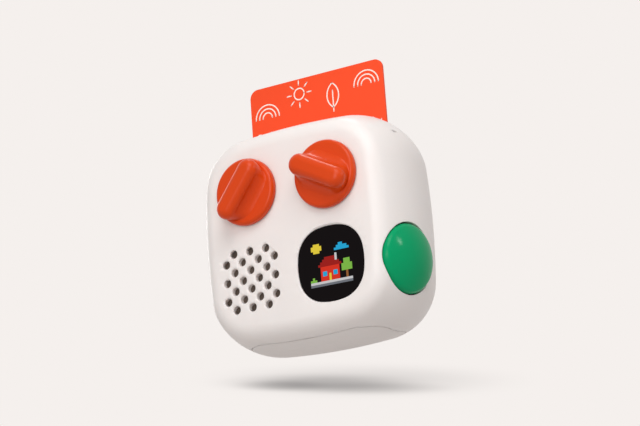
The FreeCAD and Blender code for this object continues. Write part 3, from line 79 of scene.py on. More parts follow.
def colour_property(name, description, red, green, blue):
    return FloatVectorProperty(name=name, description=description, subtype="COLOR", size=3,
                               min=0, max=1, default=linear(red, green, blue))


def length_property(name, description, default):
    return FloatProperty(name=name, description=description, default=default,
                         unit="LENGTH", subtype="DISTANCE")


def angle_property(name, description, degrees):
    return FloatProperty(name=name, description=description, default=math.radians(degrees),
                         unit="ROTATION", subtype="ANGLE")


def share_property(name, description, default):
    return FloatProperty(name=name, description=description, default=default, min=0, max=1, subtype="FACTOR")


def strength_property(name, description, default):
    return FloatProperty(name=name, description=description, default=default, min=0)


class CaseFinish(PropertyGroup):
    shell: colour_property("Shell", "Moulded case", 247, 240, 237)
    pad: colour_property("Foot pad", "Pad let into the underside", 248, 241, 238)
    roughness: share_property("Roughness", "Satin of the moulded case", 0.42)
    grain: length_property("Grain", "Size of the fine mould texture", 0.35 * MM)
    milkiness: length_property("Milkiness", "How deep light soaks into the pale plastic", 1.2 * MM)


class KnobFinish(PropertyGroup):
    colour: colour_property("Knob", "Moulded turn knobs and power button", 220, 68, 6)
    roughness: share_property("Roughness", "Satin of the knobs", 0.3)


class ButtonFinish(PropertyGroup):
    colour: colour_property("Button", "Domed play button", 0, 162, 104)
    roughness: share_property("Roughness", "Gloss of the play button", 0.15)


class ScreenPicture(PropertyGroup):
    lens: colour_property("Lens", "Smoked lens over the screen", 12, 7, 9)
    cell: length_property("Cell", "Side of one picture cell", 0.8 * MM)
    lift: length_property("Lift", "How far lit cells stand proud of the lens", 0.03 * MM)
    glow: strength_property("Glow", "Light that the picture gives off", 0.75)


class CardPrint(PropertyGroup):
    stock: colour_property("Card", "Printed ground of the card", 252, 80, 38)
    ink: colour_property("Ink", "Pale line drawings on the card", 255, 236, 226)
    line: length_property("Line", "Width of a drawn line", 0.45 * MM)
    lift: length_property("Lift", "How far the print stands proud of the card", 0.02 * MM)


class Studio(PropertyGroup):
    background: colour_property("Background", "Backdrop and floor", 245, 240, 237)
    # The colour that the painted shadow below the player darkens to
    shadow: colour_property("Shadow", "What the soft shadow below darkens to", 8, 8, 20)
    azimuth: angle_property("Azimuth", "Camera round the player", 30.76)
    elevation: angle_property("Elevation", "Camera above the player", -14.24)
    roll: angle_property("Roll", "Lean of the camera", -4.11)
    distance: length_property("Distance", "Camera to the player's front face", 666.5 * MM)
    aim_right: length_property("Aim right", "Camera's aim right of the front face's middle", 10.82 * MM)
    aim_up: length_property("Aim up", "Camera's aim above the front face's middle", -6.8 * MM)
    lens: FloatProperty(name="Lens", description="Focal length", default=112.5 * MM,
                        unit="CAMERA", subtype="DISTANCE_CAMERA")
    ambient: strength_property("Ambient", "Light from all round", 0.31)
    bounce: strength_property("Bounce", "Light that the floor gives back", 0.54)
    lamps: strength_property("Lamps", "Power of all the lamps together", 1)


SETTINGS = {
    "player_case": CaseFinish,
    "player_knobs": KnobFinish,
    "player_button": ButtonFinish,
    "player_screen": ScreenPicture,
    "player_card": CardPrint,
    "player_studio": Studio,
}


# ---- node helpers ---------------------------------------------------------

def add_node(tree, kind, inputs=None, **settings):
    """A node with its settings; each input gets a plain value or a link from another node's socket."""
    node = tree.nodes.new(kind)
    for name, value in settings.items():
        setattr(node, name, value)
    for name, value in (inputs or {}).items():
        if isinstance(value, bpy.types.NodeSocket):
            tree.links.new(value, node.inputs[name])
        else:
            node.inputs[name].default_value = value
    return node


def arithmetic(tree, operation, first, second):
    """The result of a Math node on two numbers or sockets."""
    return add_node(tree, "ShaderNodeMath", {0: first, 1: second}, operation=operation).outputs[0]


def spread(tree, value, low, high=1, **settings):
    """A value from 0 to 1, spread from low to high."""
    return add_node(tree, "ShaderNodeMapRange", {"Value": value, "To Min": low, "To Max": high},
                    **settings).outputs["Result"]


def length_of(tree, vector):
    return add_node(tree, "ShaderNodeVectorMath", {0: vector}, operation="LENGTH").outputs["Value"]


def object_place(tree):
    """Where a point lies on its piece, which every pattern is laid out on."""
    return add_node(tree, "ShaderNodeTexCoord").outputs["Object"]


def seen_directly(tree):
    """1 for the camera, reflections and glass, 0 for rays that only gather light."""
    path = add_node(tree, "ShaderNodeLightPath")
    seen = arithmetic(tree, "MAXIMUM", path.outputs["Is Camera Ray"], path.outputs["Is Glossy Ray"])
    return arithmetic(tree, "MAXIMUM", seen, path.outputs["Is Transmission Ray"])


def new_group(name, inputs, outputs):
    """A shader node group with its sockets, its tree and its two end nodes."""
    group = bpy.data.node_groups.new(name, "ShaderNodeTree")
    for socket, kind, default in inputs:
        made = group.interface.new_socket(socket, in_out="INPUT", socket_type=kind)
        if default is not None:
            made.default_value = default
    for socket, kind in outputs:
        group.interface.new_socket(socket, in_out="OUTPUT", socket_type=kind)
    return group, group.nodes.new("NodeGroupInput"), group.nodes.new("NodeGroupOutput")


def mould_grain():
    """Fine bumps of a spark-eroded mould, as a normal."""
    if "Mould grain" in bpy.data.node_groups:
        return bpy.data.node_groups["Mould grain"]
    group, start, end = new_group(
        "Mould grain",
        [("Vector", "NodeSocketVector", None), ("Size", "NodeSocketFloat", 0.4 * MM),
         ("Depth", "NodeSocketFloat", 0.1)],
        [("Normal", "NodeSocketVector")])
    scale = arithmetic(group, "DIVIDE", 1, start.outputs["Size"])
    noise = add_node(group, "ShaderNodeTexNoise",
                     {"Vector": start.outputs["Vector"], "Scale": scale, "Detail": 3})
    bump = add_node(group, "ShaderNodeBump", {"Distance": 0.02 * MM, "Strength": start.outputs["Depth"],
                                              "Height": noise.outputs["Fac"]})
    group.links.new(bump.outputs["Normal"], end.inputs["Normal"])
    return group


def tone_drift():
    """Slow change of tone across a moulding, with its satin changing alike."""
    if "Tone drift" in bpy.data.node_groups:
        return bpy.data.node_groups["Tone drift"]
    group, start, end = new_group(
        "Tone drift",
        [("Vector", "NodeSocketVector", None), ("Colour", "NodeSocketColor", (0.8, 0.8, 0.8, 1)),
         ("Amount", "NodeSocketFloat", 0.03), ("Scale", "NodeSocketFloat", 40.0),
         ("Roughness", "NodeSocketFloat", 0.4)],
        [("Colour", "NodeSocketColor"), ("Roughness", "NodeSocketFloat")])
    noise = add_node(group, "ShaderNodeTexNoise",
                     {"Vector": start.outputs["Vector"], "Scale": start.outputs["Scale"], "Detail": 4})
    swing = arithmetic(group, "MULTIPLY", spread(group, noise.outputs["Fac"], -1), start.outputs["Amount"])
    value = arithmetic(group, "ADD", swing, 1)
    shade = add_node(group, "ShaderNodeHueSaturation", {"Color": start.outputs["Colour"], "Value": value})
    rough = arithmetic(group, "MULTIPLY", start.outputs["Roughness"], value)
    group.links.new(shade.outputs["Color"], end.inputs["Colour"])
    group.links.new(rough, end.inputs["Roughness"])
    return group


def new_material(name, **sockets):
    """A Principled material with plain socket values; gives back material, tree and shader."""
    material = bpy.data.materials.new(name)
    material.use_nodes = True
    shader = material.node_tree.nodes["Principled BSDF"]
    for socket, value in sockets.items():
        shader.inputs[socket.replace("_", " ")].default_value = value
    return material, material.node_tree, shader


def finish(name, colour, roughness, drift=0.03, drift_scale=40.0, grain=0.4 * MM, depth=0.15, **sockets):
    """A moulded or coated surface: its tone drifts slowly and its skin has a fine grain."""
    material, tree, shader = new_material(name, **sockets)
    place = object_place(tree)
    tone = add_node(tree, "ShaderNodeGroup", {"Vector": place, "Colour": (*colour, 1), "Amount": drift,
                                              "Scale": drift_scale, "Roughness": roughness},
                    node_tree=tone_drift())
    skin = add_node(tree, "ShaderNodeGroup", {"Vector": place, "Size": grain, "Depth": depth},
                    node_tree=mould_grain())
    tree.links.new(tone.outputs["Colour"], shader.inputs["Base Color"])
    tree.links.new(tone.outputs["Roughness"], shader.inputs["Roughness"])
    tree.links.new(skin.outputs["Normal"], shader.inputs["Normal"])
    return material


# ---- piece helpers --------------------------------------------------------

def paint(piece, material):
    piece.data.materials.clear()
    piece.data.materials.append(material)
    return piece


def paint_nodes(material, *names):
    for name in names:
        paint(frame["nodes"][name], material)


def new_piece(name, mesh, body):
    piece = bpy.data.objects.new(name, mesh)
    bpy.context.scene.collection.objects.link(piece)
    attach(piece, body)
    return piece


def mesh_from(name, bm):
    mesh = bpy.data.meshes.new(name)
    bm.to_mesh(mesh)
    bm.free()
    return mesh


def smooth_copy(node, angle=math.radians(28)):
    """A merged, smooth-shaded copy that stands for a CAD node; edges over the angle stay sharp."""
    bm = bmesh.new()
    bm.from_mesh(frame["nodes"][node].data)
    bmesh.ops.remove_doubles(bm, verts=bm.verts, dist=WELD)
    for face in bm.faces:
        face.smooth = True
    mesh = mesh_from(node + "_smooth", bm)
    mesh.set_sharp_from_angle(angle=angle)
    piece = new_piece(node + "_smooth", mesh, BODY_OF[node])
    weigh = piece.modifiers.new("Weighted normals", "WEIGHTED_NORMAL")
    weigh.keep_sharp = True
    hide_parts(node)
    return piece


# ---- strokes of the card's print ------------------------------------------

def dot(bm, centre, radius):
    upright = Matrix.Translation(centre) @ Matrix.Rotation(math.pi / 2, 4, "X")
    bmesh.ops.create_circle(bm, cap_ends=True, radius=radius, segments=16, matrix=upright)


def line_stroke(bm, start, end, line):
    """A flat straight stroke with round ends."""
    along = (end - start).normalized()
    across = Vector((-along.z, 0, along.x)) * line / 2
    ends = [bm.verts.new(start - across), bm.verts.new(start + across)]
    edge = bm.edges.new(ends)
    made = bmesh.ops.extrude_edge_only(bm, edges=[edge])
    moved = [item for item in made["geom"] if isinstance(item, bmesh.types.BMVert)]
    bmesh.ops.translate(bm, verts=moved, vec=end - start)
    for tip in (start, end):
        dot(bm, tip, line / 2)


def arc_stroke(bm, centre, radius, start, turn, line, steps=16):
    """A flat stroke bent round a centre: a short edge across the line is spun about -Y."""
    across = Vector((math.cos(start), 0, math.sin(start)))
    ends = [bm.verts.new(centre + across * (radius + side * line / 2)) for side in (-1, 1)]
    edge = bm.edges.new(ends)
    bmesh.ops.spin(bm, geom=[*ends, edge], cent=centre, axis=(0, -1, 0), dvec=(0, 0, 0), angle=turn,
                   steps=steps, use_merge=False, use_duplicate=False)
    for angle in (start, start + turn):
        tip = Vector((math.cos(angle), 0, math.sin(angle)))
        dot(bm, centre + tip * radius, line / 2)


def ring(bm, centre, radius, line):
    arc_stroke(bm, centre, radius, 0, math.tau, line, steps=28)


def wave(bm, start, radius, count, line):
    for number in range(count):
        centre = start + Vector(((2 * number + 1) * radius, 0, 0))
        arc_stroke(bm, centre, radius, 0 if number % 2 == 0 else math.pi, math.pi, line)


# ---- drawings of the card's print: each fits round its middle within its reach ----

def rainbow(bm, middle, reach, line):
    foot = middle - Vector((0, 0, 0.5 * reach))
    for share in (0.4, 0.7, 1.0):
        arc_stroke(bm, foot, share * reach, 0, math.pi, line)


def sun(bm, middle, reach, line):
    rays = 8
    ring(bm, middle, 0.42 * reach, line)
    for number in range(rays):
        out = Vector((math.cos(number * math.tau / rays), 0, math.sin(number * math.tau / rays)))
        line_stroke(bm, middle + 0.68 * reach * out, middle + reach * out, line)


def waves(bm, middle, reach, line):
    for rise in (-0.35, 0.35):
        wave(bm, middle + Vector((-reach, 0, rise * reach)), reach / 4, 4, line)


def cloud(bm, middle, reach, line):
    """A flat foot, a puff at each end of it and a larger one on top."""
    foot = middle - Vector((0, 0, 0.35 * reach))
    half = Vector((0.75 * reach, 0, 0))
    line_stroke(bm, foot - half, foot + half, line)
    for side in (-1, 1):
        puff = foot + Vector((side * 0.75 * reach, 0, 0.3 * reach))
        arc_stroke(bm, puff, 0.3 * reach, -side * math.pi / 2, side * math.radians(200), line)
    arc_stroke(bm, foot + Vector((0, 0, 0.45 * reach)), 0.5 * reach, math.radians(12), math.radians(156), line)


def seeds(bm, middle, reach, line):
    count = 7
    for number in range(count):
        turn = number * math.tau / count
        dot(bm, middle + 0.8 * reach * Vector((math.cos(turn), 0, 0.6 * math.sin(turn))), 0.9 * line)


def leaf(bm, middle, reach, line):
    """Two arcs that meet in a point at each end, with a rib between them."""
    aside, rise = 0.6, 0.9
    half_turn = math.atan2(rise, aside)
    for side in (-1, 1):
        centre = middle + Vector((side * aside * reach, 0, 0))
        arc_stroke(bm, centre, math.hypot(aside, rise) * reach, math.pi / 2 * (1 + side) - half_turn,
                   2 * half_turn, line)
    line_stroke(bm, middle - Vector((0, 0, 1.2 * reach)), middle + Vector((0, 0, 0.35 * reach)), line)


DRAWINGS = (rainbow, seeds, sun, waves, leaf, cloud)
CARD_COLUMNS, CARD_ROWS = 4, 6
DRAWING_REACH = 0.36  # of a column
STAGGER = 0.12  # of a row, up or down in turn


# ---- operators ------------------------------------------------------------

class PLAYER_OT_dress_case(Operator):
    """Give the housing, the rear cover and the foot pad their moulded finish"""
    bl_idname = "player.dress_case"
    bl_label = "Case"

    def execute(self, context):
        look = context.scene.player_case
        milky = {"Subsurface_Weight": 0.25, "Subsurface_Radius": (1, 0.9, 0.85),
                 "Subsurface_Scale": look.milkiness}
        shell = finish("Moulded shell", look.shell, look.roughness, drift=0.012, drift_scale=25,
                       grain=look.grain, depth=0.2, **milky)
        pad = finish("Soft foot pad", look.pad, 0.6, drift=0.015, grain=look.grain, depth=0.4, **milky)
        for node in ("front_housing", "rear_cover"):
            paint(smooth_copy(node), shell)
        paint(smooth_copy("foot_pad"), pad)
        return {"FINISHED"}


class PLAYER_OT_dress_knobs(Operator):
    """Give the turn knobs and the power button their satin finish"""
    bl_idname = "player.dress_knobs"
    bl_label = "Knobs"

    def execute(self, context):
        look = context.scene.player_knobs
        satin = finish("Satin knob", look.colour, look.roughness, drift=0.03, drift_scale=60,
                       grain=0.3 * MM, depth=0.12, Specular_IOR_Level=0.24)
        for node, slot in (("left_knob", "knob"), ("right_knob", "knob"), ("power_button", "power_cap")):
            paint(smooth_copy(node), satin)
        return {"FINISHED"}


class PLAYER_OT_dress_button(Operator):
    """Give the domed play button its finish"""
    bl_idname = "player.dress_button"
    bl_label = "Play button"

    def execute(self, context):
        look = context.scene.player_button
        dome = finish("Play button", look.colour, look.roughness, drift=0.02, drift_scale=50,
                      grain=0.3 * MM, depth=0.05, Specular_IOR_Level=0.1)
        paint(smooth_copy("play_button"), dome)
        return {"FINISHED"}


PICTURE_CELLS = 22  # across and up

# Parts of the picture: colour, left, bottom, width and height in cells. A later part covers an earlier one.
PICTURE = (
    ("slate", 1, 2, 20, 1), ("grey", 1, 3, 20, 1),
    ("red", 6, 4, 9, 6), ("dark red", 5, 10, 11, 1), ("dark red", 6, 11, 9, 1), ("dark red", 7, 12, 7, 1),
    ("dark red", 8, 13, 5, 1), ("grey", 13, 12, 1, 3), ("blue", 7, 6, 2, 2), ("blue", 12, 6, 2, 2),
    ("yellow", 10, 4, 1, 3), ("brown", 18, 4, 1, 3), ("green", 16, 7, 5, 3), ("green", 17, 10, 3, 2),
    ("green", 1, 4, 3, 1), ("green", 2, 5, 1, 1),
    ("yellow", 3, 16, 3, 1), ("yellow", 2, 17, 5, 2), ("yellow", 3, 19, 3, 1),
    ("blue", 13, 16, 7, 1), ("blue", 14, 17, 5, 1), ("blue", 15, 18, 2, 1),
)

PICTURE_COLOURS = {
    "red": (218, 52, 34), "dark red": (158, 30, 26), "blue": (36, 168, 216), "yellow": (230, 206, 62),
    "green": (126, 186, 72), "brown": (150, 96, 52), "grey": (204, 204, 206), "slate": (112, 116, 124),
}

DOT_PITCH = 0.2 * MM  # grid of dots in a lit cell
DOT_EDGE = 0.82  # light between the dots, of that at their middles
UNLIT_SHARE = 0.25  # of the lit colour, in a cell's own surface


class PLAYER_OT_dress_screen(Operator):
    """Give the screen its smoked lens and its picture in coloured cells"""
    bl_idname = "player.dress_screen"
    bl_label = "Screen"

    def execute(self, context):
        look = context.scene.player_screen
        smoked = finish("Smoked lens", look.lens, 0.1, drift=0.1, grain=2 * MM, depth=0.02,
                        Specular_IOR_Level=0.06)
        paint(smooth_copy("screen_lens"), smoked)
        paint_nodes(finish("Black foam", linear(26, 24, 24), 0.85, drift=0.15, grain=0.6 * MM, depth=0.8),
                    "screen_gasket", "battery_tape")
        paint_nodes(finish("Screen module", linear(46, 46, 50), 0.3), "screen_module")
        self.lay_picture(look)
        return {"FINISHED"}

    def lay_picture(self, look):
        """The picture as thin raised cells, one colour to a cell, in the middle of the lens."""
        colours = {}
        for name, left, bottom, width, height in PICTURE:
            for column in range(left, left + width):
                for row in range(bottom, bottom + height):
                    colours[column, row] = name
        middle = (LENS_LOW + LENS_HIGH) / 2
        half = PICTURE_CELLS / 2 * look.cell
        corner = Vector((middle.x, LENS_LOW.y, middle.z)) - Vector((1, 0, 1)) * half
        size = Matrix.Diagonal((look.cell, 2 * look.lift, look.cell, 1))
        names = list(PICTURE_COLOURS)
        bm = bmesh.new()
        for (column, row), name in colours.items():
            centre = corner + Vector((column + 0.5, 0, row + 0.5)) * look.cell
            made = bmesh.ops.create_cube(bm, size=1, matrix=Matrix.Translation(centre) @ size)
            for face in {face for vert in made["verts"] for face in vert.link_faces}:
                face.material_index = names.index(name)
        self.merge_cells(bm)
        mesh = mesh_from("screen_picture", bm)
        for name in names:
            mesh.materials.append(self.lit_cell(name, linear(*PICTURE_COLOURS[name]), look.glow))
        new_piece("screen_picture", mesh, "case")

    def merge_cells(self, bm):
        """Join cells that touch into plates: weld their corners and drop the walls between them."""
        bmesh.ops.remove_doubles(bm, verts=bm.verts, dist=WELD)
        walls = {}
        for face in bm.faces:
            if abs(face.normal.y) < 0.5:
                walls.setdefault(frozenset(face.verts), []).append(face)
        inner = [face for pair in walls.values() if len(pair) > 1 for face in pair]
        bmesh.ops.delete(bm, geom=inner, context="FACES_ONLY")

    def lit_cell(self, name, colour, glow):
        """A lit colour under the gloss of the lens, with a faint grid of dots in it."""
        material, tree, shader = new_material("Cell " + name, Roughness=0.1, Specular_IOR_Level=0.06,
                                              Emission_Strength=glow)
        shader.inputs["Base Color"].default_value = (*[UNLIT_SHARE * part for part in colour], 1)
        dots = add_node(tree, "ShaderNodeTexVoronoi",
                        {"Vector": object_place(tree), "Scale": 1 / DOT_PITCH, "Randomness": 0})
        light = spread(tree, dots.outputs["Distance"], 1, DOT_EDGE)
        mix = add_node(tree, "ShaderNodeMix", {"Factor": 1, "A": (*colour, 1), "B": light},
                       data_type="RGBA", blend_type="MULTIPLY")
        tree.links.new(mix.outputs["Result"], shader.inputs["Emission Color"])
        return material


class PLAYER_OT_print_card(Operator):
    """Print the story card: a solid ground with pale line drawings"""
    bl_idname = "player.print_card"
    bl_label = "Story card"

    def execute(self, context):
        look = context.scene.player_card
        stock = finish("Printed card", look.stock, 0.42, drift=0.01, drift_scale=30, grain=0.5 * MM,
                       depth=0.08, Specular_IOR_Level=0.25)
        paint(smooth_copy("story_card"), stock)
        ink = finish("Pale ink", look.ink, 0.5, drift=0.02, grain=0.3 * MM, depth=0.1)
        bm = bmesh.new()
        self.lay_drawings(bm, look.line)
        mesh = mesh_from("card_print", bm)
        piece = new_piece("card_print", mesh, "story_card")
        thick = piece.modifiers.new("Ink thickness", "SOLIDIFY")
        thick.thickness = 2 * look.lift
        thick.offset = 0
        paint(piece, ink)
        return {"FINISHED"}

    def lay_drawings(self, bm, line):
        """Rows of simple drawings all over the card's front, staggered up and down in turn."""
        across = (CARD_HIGH.x - CARD_LOW.x) / CARD_COLUMNS
        down = (CARD_HIGH.z - CARD_LOW.z) / CARD_ROWS
        for row in range(CARD_ROWS):
            for column in range(CARD_COLUMNS):
                drawing = DRAWINGS[(2 * column + 3 * row) % len(DRAWINGS)]
                stagger = STAGGER * down * (1 if (column + row) % 2 else -1)
                middle = Vector((CARD_LOW.x + (column + 0.5) * across, CARD_LOW.y,
                                 CARD_HIGH.z - (row + 0.5) * down + stagger))
                drawing(bm, middle, DRAWING_REACH * across, line)


class PLAYER_OT_dress_inside(Operator):
    """Give the boards, loudspeaker, battery, sockets and screws their finishes"""
    bl_idname = "player.dress_inside"
    bl_label = "Inside pieces"

    def execute(self, context):
        black = finish("Black moulding", linear(30, 30, 32), 0.5, drift=0.1, grain=0.4 * MM, depth=0.3)
        steel = finish("Plated steel", linear(196, 196, 198), 0.28, drift=0.06, grain=0.2 * MM, depth=0.2,
                       Metallic=1)
        board = finish("Circuit board", linear(18, 84, 48), 0.35, drift=0.15, drift_scale=400, grain=0.5 * MM,
                       depth=0.3, Coat_Weight=0.3)
        pale = finish("Natural moulding", linear(196, 196, 192), 0.5)
        magnet = finish("Magnet", linear(96, 98, 102), 0.4, Metallic=0.8)
        foil = finish("Foil pouch", linear(200, 202, 206), 0.3, drift=0.08, drift_scale=200, Metallic=0.6)
        cloth = finish("Dust cloth", linear(88, 76, 68), 0.95, drift=0.3, drift_scale=3000, grain=0.35 * MM,
                       depth=1.0)
        paint_nodes(black, "left_encoder", "right_encoder", "screen_holder", "button_switch",
                    "headphone_socket", "power_switch", "board_parts", "speaker_cone")
        paint_nodes(steel, "left_shaft", "right_shaft", "speaker_frame", "usb_socket", "board_screws",
                    "guide_screws", "side_board_screws", "cover_screws")
        paint_nodes(board, "main_board", "side_board", "reader_board")
        paint_nodes(pale, "card_guide", "return_dome")
        paint_nodes(magnet, "speaker_magnet")
        paint_nodes(foil, "battery")
        paint_nodes(cloth, "speaker_cloth")
        return {"FINISHED"}


FACE_MIDDLE = 50.43 * MM  # height of the point on the front face that the camera's aim is measured from
AMBIENT_TINT = (1, 0.985, 0.975)  # a little warm
FLOOR_RADIUS = 1.5  # metres
FLOOR_DROP = 0.05 * MM  # gap that keeps the floor clear of the foot pad
FLOOR_FADE = (0.12, 0.7)  # metres from the player over which the floor melts into the backdrop
FLOOR_LIFT = 0.6  # share of backdrop colour in the floor at the player's foot

# The disc of ground that carries a painted shadow: the shadow is drawn in its material, not cast by the lamps.
SHADOW_REACH = 0.8  # of the camera's distance, out along its line of sight
SHADOW_DROP = 45  # mm below that line
SHADOW_RADIUS = 60  # mm
SHADOW_LEAN = 12  # degrees between the ground and the line of sight

# Soft patches of painted shade that make up the shadow: right and up of its middle, half width, half height
# (mm), strength.
SHADOW_PATCHES = (
    (0.2, -0.2, 34.4, 2.5, 0.35),
    (12.3, -1.2, 30.1, 1.7, 0.26),
    (11.3, 0.3, 52.2, 4.4, 0.20),
    (-9.5, -0.7, 17.1, 1.5, 0.30),
)

# Lamps: watts, width and height in metres, degrees round from the front and up, metres from the player.
LAMPS = (
    ("Key", 0.84, 0.30, 0.30, 30, 42, 0.45),
    ("Front fill", 1.14, 0.40, 0.30, 10, 6, 0.60),
    ("Overhead", 0.22, 0.10, 0.10, -155, 74, 0.50),
    ("Side strip", 0.22, 0.05, 0.10, 92, 22, 0.50),
    ("Rear fill", 0.70, 0.30, 0.30, -124, 18, 0.60),
)


def outward(azimuth, elevation):
    """The way out from the player, round from its front towards its right-hand side, and up."""
    return Vector((math.sin(azimuth) * math.cos(elevation), -math.cos(azimuth) * math.cos(elevation),
                   math.sin(elevation)))


class PLAYER_OT_set_stage(Operator):
    """Set the pale floor, the backdrop, the painted shadow, the lamps and the camera"""
    bl_idname = "player.set_stage"
    bl_label = "Studio"

    def execute(self, context):
        look = context.scene.player_studio
        context.scene.view_settings.view_transform = "Standard"
        right, up, toward = self.camera_axes(look)
        eye = self.place_camera(context, look, right, up, toward)
        self.set_world(context, look)
        self.set_floor(look)
        self.set_shadow(look, eye, right, up, toward)
        self.set_lamps(look)
        return {"FINISHED"}

    def camera_axes(self, look):
        """The camera's right and up, and the way back to it from the player."""
        toward = outward(look.azimuth, look.elevation)
        level = Vector((math.cos(look.azimuth), math.sin(look.azimuth), 0))
        rise = toward.cross(level)
        right = math.cos(look.roll) * level + math.sin(look.roll) * rise
        up = math.cos(look.roll) * rise - math.sin(look.roll) * level
        return right, up, toward

    def place_camera(self, context, look, right, up, toward):
        middle = Vector((0, HOUSING_LOW.y, FACE_MIDDLE))
        eye = middle + toward * look.distance + right * look.aim_right + up * look.aim_up
        camera = bpy.data.cameras.new("Camera")
        camera.sensor_width = 36
        camera.lens = look.lens / MM
        camera.clip_start = 0.01
        holder = bpy.data.objects.new("Camera", camera)
        turn = Matrix((right, up, toward)).transposed().to_4x4()
        holder.matrix_world = Matrix.Translation(eye) @ turn
        context.scene.collection.objects.link(holder)
        context.scene.camera = holder
        return eye

    def set_world(self, context, look):
        """Backdrop colour to the camera, reflections and glass; plain soft light to everything else."""
        world = bpy.data.worlds.new("Studio")
        context.scene.world = world
        world.use_nodes = True
        tree = world.node_tree
        backdrop = tree.nodes["Background"]
        backdrop.inputs["Color"].default_value = (*look.background, 1)
        backdrop.inputs["Strength"].default_value = 1
        light = add_node(tree, "ShaderNodeBackground", {"Color": (*AMBIENT_TINT, 1), "Strength": look.ambient})
        mix = add_node(tree, "ShaderNodeMixShader",
                       {"Fac": seen_directly(tree), 1: light.outputs[0], 2: backdrop.outputs[0]})
        tree.links.new(mix.outputs[0], tree.nodes["World Output"].inputs["Surface"])

    def set_floor(self, look):
        """A pale floor that takes the player's shadow; seen from beneath it isn't there."""
        bm = bmesh.new()
        bmesh.ops.create_circle(bm, cap_ends=True, radius=FLOOR_RADIUS, segments=96,
                                matrix=Matrix.Translation((0, 0, -FLOOR_DROP)))
        floor = bpy.data.objects.new("Floor", mesh_from("Floor", bm))
        bpy.context.scene.collection.objects.link(floor)
        paint(floor, self.pale_floor(look))

    def pale_floor(self, look):
        """Lit ground that fades to plain backdrop colour far off, and gives an even glow to what it lights."""
        material, tree, shader = new_material("Pale floor", Roughness=0.9, Specular_IOR_Level=0.1)
        shader.inputs["Base Color"].default_value = (*look.background, 1)
        seen = seen_directly(tree)
        near, far = FLOOR_FADE
        fade = add_node(tree, "ShaderNodeMapRange",
                        {"Value": length_of(tree, object_place(tree)), "From Min": near, "From Max": far,
                         "To Min": FLOOR_LIFT}, interpolation_type="SMOOTHSTEP")
        glow = add_node(tree, "ShaderNodeEmission",
                        {"Color": (*look.background, 1), "Strength": spread(tree, seen, look.bounce)})
        ground = add_node(tree, "ShaderNodeMixShader", {"Fac": spread(tree, seen, 1, fade.outputs["Result"]),
                                                        1: shader.outputs[0], 2: glow.outputs[0]})
        side = add_node(tree, "ShaderNodeNewGeometry")
        clear = add_node(tree, "ShaderNodeBsdfTransparent")
        both = add_node(tree, "ShaderNodeMixShader", {"Fac": side.outputs["Backfacing"],
                                                      1: ground.outputs[0], 2: clear.outputs[0]})
        tree.links.new(both.outputs[0], tree.nodes["Material Output"].inputs["Surface"])
        return material

    def set_shadow(self, look, eye, right, up, toward):
        """A painted soft shadow on a disc of ground that the camera sees beneath the player as it hangs in the
        air: dark emission mixed with clear, not a shadow cast by the lamps.
        """
        middle = eye - toward * SHADOW_REACH * look.distance - up * SHADOW_DROP * MM
        lean = math.radians(SHADOW_LEAN)
        away = up * math.sin(lean) - toward * math.cos(lean)
        turn = Matrix((right, away, right.cross(away))).transposed()
        bm = bmesh.new()
        bmesh.ops.create_circle(bm, cap_ends=True, radius=SHADOW_RADIUS * MM, segments=64,
                                matrix=Matrix.Translation(middle) @ turn.to_4x4())
        ground = bpy.data.objects.new("Painted ground shadow", mesh_from("Painted ground shadow", bm))
        bpy.context.scene.collection.objects.link(ground)
        material, tree, shader = new_material("Painted ground shadow")
        tree.nodes.remove(shader)
        place = object_place(tree)
        # How much of the backdrop shows through: each patch paints a soft dark spot of shade into it
        light = 1
        for sideways, rise, half_width, half_height, strength in SHADOW_PATCHES:
            patch = add_node(tree, "ShaderNodeMapping", {
                "Vector": place,
                "Location": middle + right * sideways * MM + away * rise * MM / math.sin(lean),
                "Rotation": turn.to_euler(),
                "Scale": (half_width * MM, half_height * MM / math.sin(lean), 1),
            }, vector_type="TEXTURE")
            fade = spread(tree, length_of(tree, patch.outputs["Vector"]), 1 - strength,
                          interpolation_type="SMOOTHERSTEP")
            light = arithmetic(tree, "MULTIPLY", fade, light)
        # Painted shadow: a dark emission where the patches lie, clear to the backdrop elsewhere
        dark = add_node(tree, "ShaderNodeEmission", {"Color": (*look.shadow, 1)})
        clear = add_node(tree, "ShaderNodeBsdfTransparent")
        mix = add_node(tree, "ShaderNodeMixShader", {"Fac": light, 1: dark.outputs[0], 2: clear.outputs[0]})
        tree.links.new(mix.outputs[0], tree.nodes["Material Output"].inputs["Surface"])
        paint(ground, material)

    def set_lamps(self, look):
        middle = (HOUSING_LOW + HOUSING_HIGH) / 2
        for name, power, width, height, azimuth, elevation, distance in LAMPS:
            lamp = bpy.data.lights.new(name, "AREA")
            lamp.shape = "ELLIPSE"
            lamp.size = width
            lamp.size_y = height
            lamp.energy = power * look.lamps
            way = distance * outward(math.radians(azimuth), math.radians(elevation))
            holder = bpy.data.objects.new(name, lamp)
            holder.location = middle + way
            holder.rotation_euler = way.to_track_quat("Z", "Y").to_euler()
            bpy.context.scene.collection.objects.link(holder)


OPERATORS = (PLAYER_OT_dress_case, PLAYER_OT_dress_knobs, PLAYER_OT_dress_button, PLAYER_OT_dress_screen,
             PLAYER_OT_print_card, PLAYER_OT_dress_inside, PLAYER_OT_set_stage)


class PLAYER_PT_sidebar(Panel):
    """Lists the pieces of the player and the studio"""
    bl_idname = "PLAYER_PT_sidebar"
    bl_label = "Story Player"
    bl_space_type = "VIEW_3D"
    bl_region_type = "UI"
    bl_category = "Story Player"

    def draw(self, context):
        for operator in OPERATORS:
            self.layout.operator(operator.bl_idname)
        for name, settings in SETTINGS.items():
            box = self.layout.box()
            for prop in settings.__annotations__:
                box.prop(getattr(context.scene, name), prop)


def register():
    for thing in (*SETTINGS.values(), *OPERATORS, PLAYER_PT_sidebar):
        bpy.utils.register_class(thing)
    for name, settings in SETTINGS.items():
        setattr(bpy.types.Scene, name, PointerProperty(type=settings))


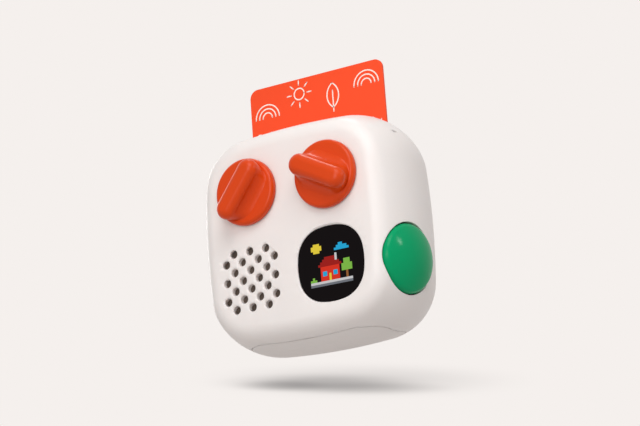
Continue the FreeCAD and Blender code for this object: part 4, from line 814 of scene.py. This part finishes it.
def unregister():
    for name in SETTINGS:
        delattr(bpy.types.Scene, name)
    for thing in reversed((*SETTINGS.values(), *OPERATORS, PLAYER_PT_sidebar)):
        bpy.utils.unregister_class(thing)


def main():
    register()
    for operator in OPERATORS:
        family, action = operator.bl_idname.split(".")
        getattr(getattr(bpy.ops, family), action)()


if __name__ == "__main__":
    main()
